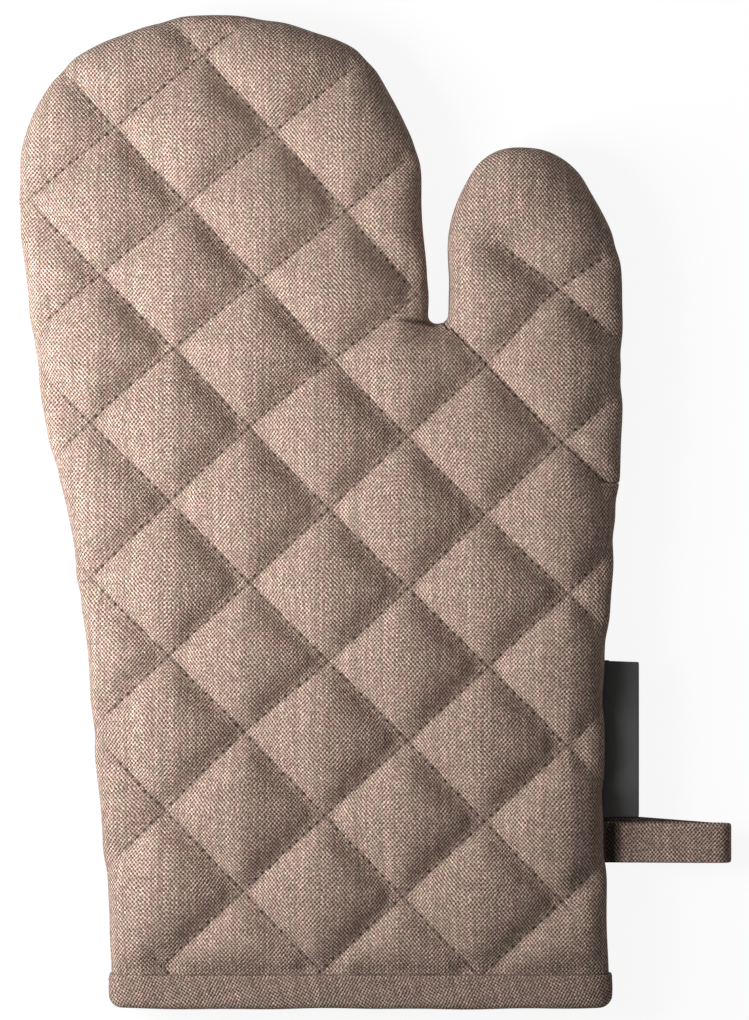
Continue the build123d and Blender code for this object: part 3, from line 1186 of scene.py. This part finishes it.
@lru_cache(None)
def sewing_thread():
    """Twisted sewing thread."""
    return fibres(
        "sewing_thread", colours().thread, strands=(3000.0, 1.0, 0.5), clumps=(200.0, 1.0, 0.5),
        light=(0.7, 0.4, 0.2), rough=(0.75, 0.15), relief=0.05 * mm, sheen=0.1)


def add_object(name, data):
    """A new object in the scene."""
    made = bpy.data.objects.new(name, data)
    bpy.context.scene.collection.objects.link(made)
    return made


def used_points(faces):
    """Numbers of the points that faces use, in order."""
    return np.unique([corner for face in faces for corner in face])


def cloth_piece(name, points, faces, material, maps=None):
    """A new object from points in metres and faces, smooth, with its maps of two values a point."""
    used = used_points(faces)
    fresh = np.full(len(points), -1)
    fresh[used] = np.arange(len(used))
    mesh = bpy.data.meshes.new(name)
    mesh.from_pydata(points[used].tolist(), [], [[int(fresh[c]) for c in face] for face in faces])
    corners = np.zeros(len(mesh.loops), int)
    mesh.loops.foreach_get("vertex_index", corners)
    for layer, values in (maps or {}).items():
        made = mesh.uv_layers.new(name=layer)
        made.data.foreach_set("uv", values[used][corners].astype(np.float32).ravel())
    mesh.shade_smooth()
    mesh.materials.append(material)
    return add_object(name, mesh)


def crease_rows(piece, points_on_row, amount):
    """Keeps the quilting rows sharp when the piece is smoothed."""
    mesh = piece.data
    creases = mesh.attributes.new("crease_edge", "FLOAT", "EDGE")
    ends = np.zeros(len(mesh.edges) * 2, int)
    mesh.edges.foreach_get("vertices", ends)
    both = points_on_row[ends.reshape(-1, 2)].all(axis=1)
    creases.data.foreach_set("value", (both * amount).astype(np.float32))


def thicken(piece, thickness, offset=-1.0):
    """Gives a cloth its thickness."""
    made = piece.modifiers.new("thickness", "SOLIDIFY")
    made.thickness = thickness
    made.offset = offset
    made.use_even_offset = False


def smooth_piece(piece, levels=1):
    """Smooths a piece by subdivision."""
    made = piece.modifiers.new("smooth", "SUBSURF")
    made.levels = levels
    made.render_levels = levels


finger_fold_reach = 16.0 * mm  # this far to each side of a fold; not used for bending
thumb_fold_reach = 10.4 * mm


def bend_with_zone(piece, zone):
    """Bakes a piece's transform into its mesh; the fold between the palm and the fingers or the thumb is read
    but not used.
    """
    if zone == "hand":
        fold, child, reach = joints["fingers_fold"], "fingers", finger_fold_reach
    else:
        fold, child, reach = joints["thumb_fold"], "thumb", thumb_fold_reach
    middle = Vector(fold["pos_m"])
    across = Vector((0.0, 0.0, 1.0)).cross(Vector(fold["axis"])) * reach
    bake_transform(piece)


def zone_nodes(side, ply, zone):
    """Frame nodes that a piece of one side and zone stands for."""
    zones = ("palm", "fingers") if zone == "hand" else ("thumb",)
    return [f"{side}_{ply}_{part}" for part in zones]


def zones():
    """Every side and zone of the mitt."""
    return [(side, zone) for side in ("front", "back") for zone in ("hand", "thumb")]


def turned_over(faces):
    """Faces that look the other way."""
    return [face[::-1] for face in faces]


def flat_cut(points, faces):
    """Width, length and area of the flat cut that a cloth of points in metres was sewn from."""
    area = 0.0
    for face in faces:
        corners = points[face]
        spans = corners[1:] - corners[0]
        area += np.linalg.norm(np.cross(spans[:-1], spans[1:]), axis=1).sum() / 2
    used = points[used_points(faces)]
    width, length, drop = used.max(axis=0) - used.min(axis=0)
    return (width + 2 * drop, length + drop), area


class MITT_OT_linen(bpy.types.Operator):
    """Sews the quilted linen panels of the front and the back"""

    bl_idname = "mitt.linen"
    bl_label = "Linen panels"

    def execute(self, context):
        plan = layout()
        maps = {
            "flat": plan.flat * mm,
            "rows": plan.rows,
            # the sewn map carries the strength of the painted shade in the needle holes and row creases
            "sewn": np.column_stack([plan.row_shade_strength, plan.row_shade_strength]),
            "fold": across_fold(plan.flat, slot_creases[0]),
        }
        for side, zone in zones():
            points = turned(quilted(side)[0], side)
            faces = zone_faces(zone) if side == "front" else turned_over(zone_faces(zone))
            piece = cloth_piece(f"{side}_panel_{zone}", points, faces, linen(painted_shade_marks=panel_painted_shade), maps)
            crease_rows(piece, plan.on_row[used_points(faces)], row_crease)
            thicken(piece, sizes().linen_thickness)
            smooth_piece(piece)
            cut, area = flat_cut(points, faces)
            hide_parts(*zone_nodes(side, "linen", zone))
            bend_with_zone(piece, zone)
        return {"FINISHED"}


def outer_edges(faces):
    """Edges that only one face uses, in that face's direction."""
    seen = {}
    for face in faces:
        for one, other in zip(face, face[1:] + face[:1]):
            if (other, one) in seen:
                del seen[other, one]
            else:
                seen[one, other] = True
    return list(seen)


class MITT_OT_wadding(bpy.types.Operator):
    """Lays the wadding between each panel and its lining"""

    bl_idname = "mitt.wadding"
    bl_label = "Wadding"

    linen_play = 0.25  # millimetres between the wadding and the cloths
    lining_play = 0.2

    def execute(self, context):
        for side, zone in zones():
            points, outward = quilted(side)
            under_linen = points - outward * (sizes().linen_thickness / mm + self.linen_play)
            over_lining = lining_points(side) + np.array([0.0, 0.0, self.lining_play])
            count = len(points)
            faces = zone_faces(zone)
            inner = [[corner + count for corner in face] for face in turned_over(faces)]
            walls = [[one, one + count, other + count, other] for one, other in outer_edges(faces)]
            solid = faces + inner + walls
            if side == "back":
                solid = turned_over(solid)
            both = np.concatenate([turned(under_linen, side), turned(over_lining, side)])
            piece = cloth_piece(f"{side}_wadding_{zone}_fill", both, solid, felt())
            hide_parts(*zone_nodes(side, "wadding", zone))
            bend_with_zone(piece, zone)
        return {"FINISHED"}


class MITT_OT_lining(bpy.types.Operator):
    """Sews the lining inside the front and the back"""

    bl_idname = "mitt.lining"
    bl_label = "Lining"

    def execute(self, context):
        for side, zone in zones():
            faces = zone_faces(zone) if side == "back" else turned_over(zone_faces(zone))
            points = turned(lining_points(side), side)
            piece = cloth_piece(f"{side}_lining_{zone}_cloth", points, faces, lining_cotton())
            thicken(piece, sizes().lining_thickness, offset=1.0)
            cut, area = flat_cut(points, faces)
            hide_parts(*zone_nodes(side, "lining", zone))
            bend_with_zone(piece, zone)
        return {"FINISHED"}


def thread_piece(name, runs):
    """Sewing thread along runs of points in metres, as one mesh."""
    curve = bpy.data.curves.new(name, "CURVE")
    curve.dimensions = "3D"
    curve.bevel_depth = sizes().thread_radius
    curve.bevel_resolution = 1
    curve.use_fill_caps = True
    for run in runs:
        spline = curve.splines.new("POLY")
        spline.points.add(len(run) - 1)
        spline.points.foreach_set("co", np.column_stack([run, np.ones(len(run))]).astype(np.float32).ravel())
    line = bpy.data.objects.new(name + "_line", curve)
    mesh = bpy.data.meshes.new_from_object(line)
    bpy.data.objects.remove(line)
    bpy.data.curves.remove(curve)
    mesh.name = name
    mesh.shade_smooth()
    mesh.materials.clear()
    mesh.materials.append(sewing_thread())
    return add_object(name, mesh)


class MITT_OT_quilting(bpy.types.Operator):
    """Sews the quilting stitches of every row"""

    bl_idname = "mitt.quilting"
    bl_label = "Quilting stitches"

    # One stitch: share of its length, and lift off the cloth in millimetres
    course = ((0.06, -0.35), (0.2, 0.05), (0.5, 0.12), (0.8, 0.05), (0.94, -0.35))

    def execute(self, context):
        for side in ("front", "back"):
            points, outward = quilted(side)
            runs = {"hand": [], "thumb": []}
            for start, middle, end in self.stitches():
                if points[start, 1] < sizes().binding_height / mm:
                    continue
                zone = "thumb" if on_thumb(layout().plan[middle]) else "hand"
                runs[zone].append(turned(self.stitch(points, outward, (start, middle, end)), side))
            for zone, chosen in runs.items():
                piece = thread_piece(f"{side}_quilting_{zone}", chosen)
                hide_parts(*zone_nodes(side, "rising_threads", zone))
                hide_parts(*zone_nodes(side, "falling_threads", zone))
                bend_with_zone(piece, zone)
        return {"FINISHED"}

    def stitches(self):
        """Numbers of the start, middle and end of every stitch in the layout."""
        numbers = layout().row_point
        for (falling, rising), start in numbers.items():
            for row, place, ahead in ((rising, falling, (1, 0)), (falling, rising, (0, 1))):
                if row % steps_per_side or place % 2:
                    continue
                middle = numbers.get((falling + ahead[0], rising + ahead[1]))
                end = numbers.get((falling + 2 * ahead[0], rising + 2 * ahead[1]))
                if middle is not None and end is not None and layout().sewn[middle]:
                    yield start, middle, end

    def stitch(self, points, outward, numbers):
        """One stitch from needle hole to needle hole, over the cloth between them."""
        start, middle, end = (points[number] for number in numbers)
        lift = outward[numbers[1]]
        made = []
        for share, height in self.course:
            first, second = (start, middle) if share < 0.5 else (middle, end)
            made.append(first + (second - first) * (share * 2 % 1.0) + lift * height)
        return np.array(made)


class MITT_OT_side_seam(bpy.types.Operator):
    """Sews the seam that joins the panels inside their edge"""

    bl_idname = "mitt.side_seam"
    bl_label = "Side seam"

    # Sizes in millimetres
    inset = 3.2
    half_stitch = 1.3
    swing = 0.3
    above_binding = 1.0

    def execute(self, context):
        points, inward = outline()
        kept = points[:, 1] > sizes().binding_height / mm + self.above_binding
        line = points[kept] + inward[kept] * self.inset
        walked, places = evenly(line, self.half_stitch)
        line = along(walked, line, places)
        level = np.where(np.arange(len(line)) % 2, self.swing, -self.swing)
        sewn = turned(np.column_stack([line, level]), "front")
        thumb = on_thumb(line)
        first, last = np.flatnonzero(thumb)[[0, -1]]
        runs = {"hand": [sewn[: first + 1], sewn[last:]], "thumb": [sewn[first: last + 1]]}
        for zone, chosen in runs.items():
            piece = thread_piece(f"side_seam_{zone}", chosen)
            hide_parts(*(node[1:] for node in zone_nodes("", "seam_thread", zone)))
            bend_with_zone(piece, zone)
        return {"FINISHED"}


cuff_samples = 60  # points round one corner of the cuff
cuff_repeats = 6  # rounds that smooth the outward directions


def cuff_ring(step):
    """Ring of the cuff's cloth in millimetres, x and rise, walked evenly, with outward directions."""
    plan = layout()
    right, left = plan.edge[0][0], plan.edge[-1][0] + cuff_narrow
    angles = np.linspace(plan.angles[0], math.pi / 2, cuff_samples)
    inset, rise = plan.rim_profile(angles)
    halves = []
    for side, turn in (("front", 1.0), ("back", -1.0)):
        level = rise * cuff_level(side) / panel_rise() * turn
        right_side = np.column_stack([right - inset, level])
        left_side = np.column_stack([left + inset, level])[::-1]
        halves.append(np.concatenate([right_side, left_side]))
    path = np.concatenate([halves[0], halves[1][-2::-1]])
    walked, places = evenly(path, step)
    ring = along(walked, path, places)[:-1]
    ahead = unit(np.roll(ring, -1, axis=0) - np.roll(ring, 1, axis=0))
    for repeat in range(cuff_repeats):
        ahead = unit(ahead + np.roll(ahead, 1, axis=0) + np.roll(ahead, -1, axis=0))
    return ring, np.column_stack([ahead[:, 1], -ahead[:, 0]]), places[:-1]


def on_ring(ring, outward, height, proud):
    """Frame points of a ring at a height above the cuff's edge, standing proud of the cloth."""
    place = ring + outward * np.asarray(proud)[..., None]
    high = np.broadcast_to(height, place.shape[:-1])
    plan = to_frame(np.stack([place[..., 0], high], axis=-1))
    return np.concatenate([plan, seam_level + place[..., 1:] * mm], axis=-1)


def grid_faces(rows, columns, closed=False):
    """Four-sided faces of points laid row after row; a closed row is a ring."""
    faces = []
    for row in range(rows - 1):
        for column in range(columns if closed else columns - 1):
            after = (column + 1) % columns
            ends = (column, after, columns + after, columns + column)
            faces.append([row * columns + end for end in ends])
    return faces


class MITT_OT_binding(bpy.types.Operator):
    """Folds the binding over the cuff's edge and sews it down"""

    bl_idname = "mitt.binding"
    bl_label = "Cuff binding"

    # Sizes in millimetres
    ring_step = 1.44
    thickness = 0.8
    play = 0.1  # between the band and the cuff's cloths
    turns = 9  # points round the fold
    inner_drop = 0.2  # the inner edge lies this far below the outer one
    inner_leg = (7.5, 5.0)  # heights
    stitch_row = 8.9
    # Heights of the outer leg and how far it swells there; the edge is measured from the top
    outer_leg = ((5.0, 0.12), (7.2, 0.1), (stitch_row, -0.08))
    outer_edge = ((-0.3, 0.1), (0.0, -0.25))
    corner = 2.0  # round of the band's corners at the sides
    # The fold lies above the cuff's edge by this and by waves, each with a size, a length and a start
    fold_rise = 0.6
    fold_waves = ((0.14, 11.0, 0.0), (0.1, 4.7, 1.0))
    pucker = 0.09  # the stitches pucker the band, this far to each side of their row
    pucker_reach = 1.6
    stitch_lift = (-0.18, 0.22, -0.18)  # a stitch's start, middle and end, out from the band
    # Painted shade: the binding's linen is drawn darker than the panels'
    shade = 0.8
    weave_turn = math.radians(14)

    def section(self):
        """The folded band from its inner edge to its outer edge: height, and proud of the linen."""
        top = sizes().binding_height / mm
        inner = -sizes().cuff_wall / mm - self.thickness / 2 - self.play
        outer = self.thickness / 2 + self.play
        middle = (inner + outer) / 2
        half = (outer - inner) / 2
        inside_leg = [(height, inner) for height in (top - self.inner_drop, *self.inner_leg)]
        fold = [(half * (1 - math.sin(angle)), middle - half * math.cos(angle))
                for angle in np.linspace(0.0, math.pi, self.turns)]
        outside_leg = [(height, outer + swell) for height, swell in self.outer_leg]
        edge = [(top + height, outer + swell) for height, swell in self.outer_edge]
        return np.array(inside_leg + fold + outside_leg + edge)

    def fold_line(self, ring, places):
        """Rise of the fold above the cuff's edge along the ring."""
        rise = np.full(len(places), self.fold_rise)
        for size, length, start in self.fold_waves:
            rise += size * np.sin(places / length + start)
        aside = np.minimum(ring[:, 0].max() - ring[:, 0], ring[:, 0] - ring[:, 0].min())
        from_end = np.clip(self.corner - aside, 0.0, None)
        return rise + self.corner - np.sqrt(self.corner ** 2 - from_end ** 2)

    def execute(self, context):
        ring, outward, places = cuff_ring(self.ring_step)
        section = self.section()
        walked = walked_length(section)
        fold_line = self.fold_line(ring, places)
        pucker = np.where(np.arange(len(ring)) % 2, self.pucker, -self.pucker)
        points, flat = [], []
        for (height, proud), far in zip(section, walked):
            near_row = math.exp(-((height - self.stitch_row) / self.pucker_reach) ** 2) if proud > 0 else 0.0
            near_fold = 1.0 - height / section[:, 0].max()
            points.append(on_ring(ring, outward, height + fold_line * near_fold, proud + pucker * near_row))
            flat.append(np.column_stack([places, np.full(len(places), far)]))
        piece = cloth_piece(
            "cuff_binding_band", np.concatenate(points), grid_faces(len(section), len(ring), closed=True),
            linen("binding_linen", self.weave_turn, self.shade), {"flat": np.concatenate(flat) * mm})
        thicken(piece, self.thickness * mm, offset=0.0)
        smooth_piece(piece)
        places[-1] * mm
        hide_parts("cuff_binding")
        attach(piece, "palm")
        self.sew_row(ring, outward)
        return {"FINISHED"}

    def sew_row(self, ring, outward):
        """The row of stitches along the binding's upper edge."""
        proud = self.thickness + np.array(self.stitch_lift)
        runs = []
        for start in range(0, len(ring) - 1, 2):
            numbers = np.arange(start, start + 3) % len(ring)
            runs.append(on_ring(ring[numbers], outward[numbers], self.stitch_row, proud))
        piece = thread_piece("binding_stitches", runs)
        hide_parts("binding_stitch")
        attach(piece, "palm")


def folded_strip(name, path, low, high, columns, shift, material, thickness):
    """A strip of cloth folded along a path of x and rise, between two heights above the cuff's edge."""
    walked = walked_length(path)
    shares = np.linspace(0.0, 1.0, columns)
    points, flat = [], []
    for (x, rise), far in zip(path, walked):
        heights = low + (high - low) * shares + shift(far / walked[-1], shares)
        plan = to_frame(np.column_stack([np.full(columns, x), heights]))
        points.append(np.column_stack([plan, np.full(columns, seam_level + rise * mm)]))
        flat.append(np.column_stack([np.full(columns, far), heights]))
    faces = [[first, *others[::-1]] for first, *others in grid_faces(len(path), columns)]
    piece = cloth_piece(name, np.concatenate(points), faces, material, {"flat": np.concatenate(flat) * mm})
    thicken(piece, thickness * mm, offset=0.0)
    smooth_piece(piece)
    return piece, walked[-1]


def fold_path(root, fold, root_gap, fold_gap, runs, turns):
    """Out along one leg, round the fold and back along the other: x and rise, in millimetres."""
    middle = fold - fold_gap
    outward = np.linspace(root, middle, runs)
    legs = root_gap + (fold_gap - root_gap) * fade_in(outward, root, middle - root)
    bend = np.linspace(math.pi / 2, -math.pi / 2, turns)[1:-1]
    upper = np.column_stack([outward, legs])
    lower = np.column_stack([outward, -legs])[::-1]
    round_end = np.column_stack([middle + fold_gap * np.cos(bend), fold_gap * np.sin(bend)])
    return np.concatenate([upper, round_end, lower])


def swing_with(piece, name):
    """Bakes a piece's transform into its mesh; the joint of what swings out of the side seam is read but not
    used.
    """
    axis = Vector(joints[name]["pos_m"])
    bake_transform(piece)


class MITT_OT_loop(bpy.types.Operator):
    """Sews the hanging loop into the side seam"""

    bl_idname = "mitt.loop"
    bl_label = "Hanging loop"

    # Sizes in millimetres
    tape = 1.2
    hidden = 3.5  # length inside the seam
    root_play = 0.05
    fold_half = 3.3
    leg_points = 22
    turn_points = 11
    columns = 9
    drop = 0.5  # the worn tape is a little wider and longer
    stretch = 0.9
    rear_lift = 2.9
    rear_fade = 0.42  # share of the tape's length over which the rear leg comes back in line
    # Painted shade: the loop's linen is drawn darker than the panels', as if in the mitt's shadow
    shade = 0.85
    # Painted shade deep in the seam: how far out it is even, over how far it fades, and how dark it is
    seam_shade = (1.6, 2.4, 0.85)
    # Painted shade on the rear leg where it shows above the front one: over how far it comes in, and how dark
    # it is
    rear_shade = (0.5, 0.75)

    def rear_shift(self, share, across):
        """The rear leg lies a little higher where it enters the seam."""
        return self.rear_lift * max(0.0, 1.0 - (1.0 - share) / self.rear_fade)

    def execute(self, context):
        low, high = (np.array(corner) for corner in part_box("hanging_loop"))
        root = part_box("loop_tail")[1].x
        (start, bottom), (end, top) = from_frame([[root, low[1]], [high[0], high[1]]])
        bottom, end = bottom - self.drop, end + self.stretch
        path = fold_path(
            start - self.hidden, end - self.tape / 2, self.tape / 2 + self.root_play, self.fold_half,
            self.leg_points, self.turn_points)

        def painted_shade_marks(finish, out, up):
            """Painted shade deep in the seam, and on the rear leg where it shows above the front one, as the
            share of light left.
            """
            even, fade, dark = self.seam_shade
            in_seam = finish.limit(1.0 - (out / mm - (self.hidden + even)) / fade) * dark
            fade, dark = self.rear_shade
            behind = finish.limit((up / mm - top) / fade) * dark
            return (1.0 - in_seam) * (1.0 - behind)

        material = linen("loop_linen", shade=self.shade, painted_shade_marks=painted_shade_marks)
        piece, length = folded_strip(
            "hanging_loop_tape", path, bottom, top, self.columns, self.rear_shift, material, self.tape)
        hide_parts("hanging_loop")
        swing_with(piece, "loop_swing")
        return {"FINISHED"}


class MITT_OT_label(bpy.types.Operator):
    """Sews the folded, bare ribbon label into the side seam"""

    bl_idname = "mitt.label"
    bl_label = "Ribbon label"

    # Sizes in millimetres
    thickness = 0.35
    hidden = 3.5  # length inside the seam
    root_gap = 0.28
    fold_gap = 0.34
    leg_points = 10
    turn_points = 7
    columns = 25
    slant = -0.5  # rise of the upper end at the fold

    def slant_shift(self, share, across):
        """The upper end is cut a little aslant."""
        return self.slant * across * (0.5 - abs(share - 0.5)) * 2

    def execute(self, context):
        low, high = (np.array(corner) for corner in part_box("label_tab"))
        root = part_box("label_tail")[1].x
        (start, bottom), (end, top) = from_frame([[root, low[1]], [high[0], high[1]]])
        path = fold_path(
            start - self.hidden, end - self.thickness / 2, self.root_gap, self.fold_gap,
            self.leg_points, self.turn_points)
        piece, length = folded_strip(
            "label_ribbon_tab", path, bottom, top, self.columns, self.slant_shift, ribbon(), self.thickness)
        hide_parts("label_tab")
        swing_with(piece, "label_swing")
        return {"FINISHED"}


class MITT_OT_tails(bpy.types.Operator):
    """Finishes the ends of the loop and the label inside the seam"""

    bl_idname = "mitt.tails"
    bl_label = "Sewn-in ends"

    def execute(self, context):
        tape = plain_cloth("tape_end", colours().weft, pitch=0.7 * mm, relief=0.1 * mm)
        for node, material in (("loop_tail", tape), ("label_tail", ribbon())):
            frame["nodes"][node].data.materials.clear()
            frame["nodes"][node].data.materials.append(material)
        return {"FINISHED"}


class MITT_OT_stage(bpy.types.Operator):
    """Sets the floor, the lights and the camera"""

    bl_idname = "mitt.stage"
    bl_label = "Stage"

    camera_height = 1.8
    view_length = 307.8 * mm  # long side of the picture at the seam's level
    view_middle = (0.44 * mm, 0.3 * mm)
    view_end = 20.0
    floor_half = 4.0
    floor_glow = 0.86  # share of its own white that the floor shows to the camera
    floor_white = 1.06
    # Name, place, aim, size and power of each light
    lights = (
        ("key", (-0.36, 0.01, 0.33), (-0.05, 0.34, 0.0), 0.3, 4.1),
        ("fill", (-0.1, 0.45, 1.0), (0.0, 0.3, 0.0), 1.4, 1.6),
    )
    sky = (1.0, 0.95, 0.91, 1.0)
    sky_strength = 0.09

    def execute(self, context):
        self.lay_floor()
        for light in self.lights:
            self.add_light(*light)
        world = bpy.data.worlds.new("studio")
        world.use_nodes = True
        background = world.node_tree.nodes["Background"]
        background.inputs["Color"].default_value = self.sky
        background.inputs["Strength"].default_value = self.sky_strength
        context.scene.world = world
        context.scene.view_settings.view_transform = "Standard"
        camera = bpy.data.cameras.new("camera")
        camera.lens = camera.sensor_width * self.camera_height / self.view_length
        camera.clip_end = self.view_end
        seat = add_object("camera", camera)
        seat.location = (*self.view_middle, seam_level + self.camera_height)
        context.scene.camera = seat
        return {"FINISHED"}

    def lay_floor(self):
        """A white floor that glows to the camera and keeps the mitt's shadow."""
        finish = Finish("studio_floor")
        rays = finish.node("ShaderNodeLightPath").outputs
        seen = Value(finish, rays["Is Camera Ray"])
        for kind in ("Is Glossy Ray", "Is Transmission Ray"):
            seen = finish.math("MAXIMUM", seen, Value(finish, rays[kind]))
        matt = finish.value("ShaderNodeBsdfDiffuse", None, {"Color": full(colours().floor)})
        glow = finish.value("ShaderNodeEmission", None, {"Color": (1, 1, 1, 1), "Strength": self.floor_white})
        both = finish.value("ShaderNodeMixShader", None, {0: seen * self.floor_glow, 1: matt, 2: glow})
        finish.node("ShaderNodeOutputMaterial", None, {"Surface": both})
        bm = bmesh.new()
        bmesh.ops.create_grid(bm, x_segments=1, y_segments=1, size=self.floor_half)
        mesh = bpy.data.meshes.new("floor")
        bm.to_mesh(mesh)
        bm.free()
        mesh.materials.append(finish.material)
        floor = add_object("floor", mesh)

    def add_light(self, name, place, aim, size, power):
        """A square soft light that faces a point beyond the fingertips."""
        light = bpy.data.lights.new(name, "AREA")
        light.size = size
        light.energy = power
        lamp = add_object(name, light)
        lamp.location = place
        lamp.rotation_euler = (Vector(aim) - Vector(place)).to_track_quat("-Z", "Y").to_euler()


class MITT_PT_panel(bpy.types.Panel):
    """Lists the mitt's sizes, colours and pieces"""

    bl_idname = "MITT_PT_panel"
    bl_label = "Oven mitt"
    bl_space_type = "VIEW_3D"
    bl_region_type = "UI"
    bl_category = "Oven mitt"

    def draw(self, context):
        for group in (context.scene.mitt_sizes, context.scene.mitt_colours):
            box = self.layout.box()
            for name in group.bl_rna.properties.keys():
                if name not in ("rna_type", "name"):
                    box.prop(group, name)
        for operator in operators:
            self.layout.operator(operator.bl_idname)


operators = (
    MITT_OT_linen, MITT_OT_wadding, MITT_OT_lining, MITT_OT_quilting, MITT_OT_side_seam, MITT_OT_binding,
    MITT_OT_loop, MITT_OT_label, MITT_OT_tails, MITT_OT_stage)
classes = (MittSizes, MittColours, *operators, MITT_PT_panel)


def register():
    for made in classes:
        bpy.utils.register_class(made)
    bpy.types.Scene.mitt_sizes = PointerProperty(type=MittSizes)
    bpy.types.Scene.mitt_colours = PointerProperty(type=MittColours)


def unregister():
    del bpy.types.Scene.mitt_colours
    del bpy.types.Scene.mitt_sizes
    for made in reversed(classes):
        bpy.utils.unregister_class(made)


def main():
    register()
    bpy.ops.mitt.linen()
    bpy.ops.mitt.wadding()
    bpy.ops.mitt.lining()
    bpy.ops.mitt.quilting()
    bpy.ops.mitt.side_seam()
    bpy.ops.mitt.binding()
    bpy.ops.mitt.loop()
    bpy.ops.mitt.label()
    bpy.ops.mitt.tails()
    bpy.ops.mitt.stage()


if __name__ == "__main__":
    main()
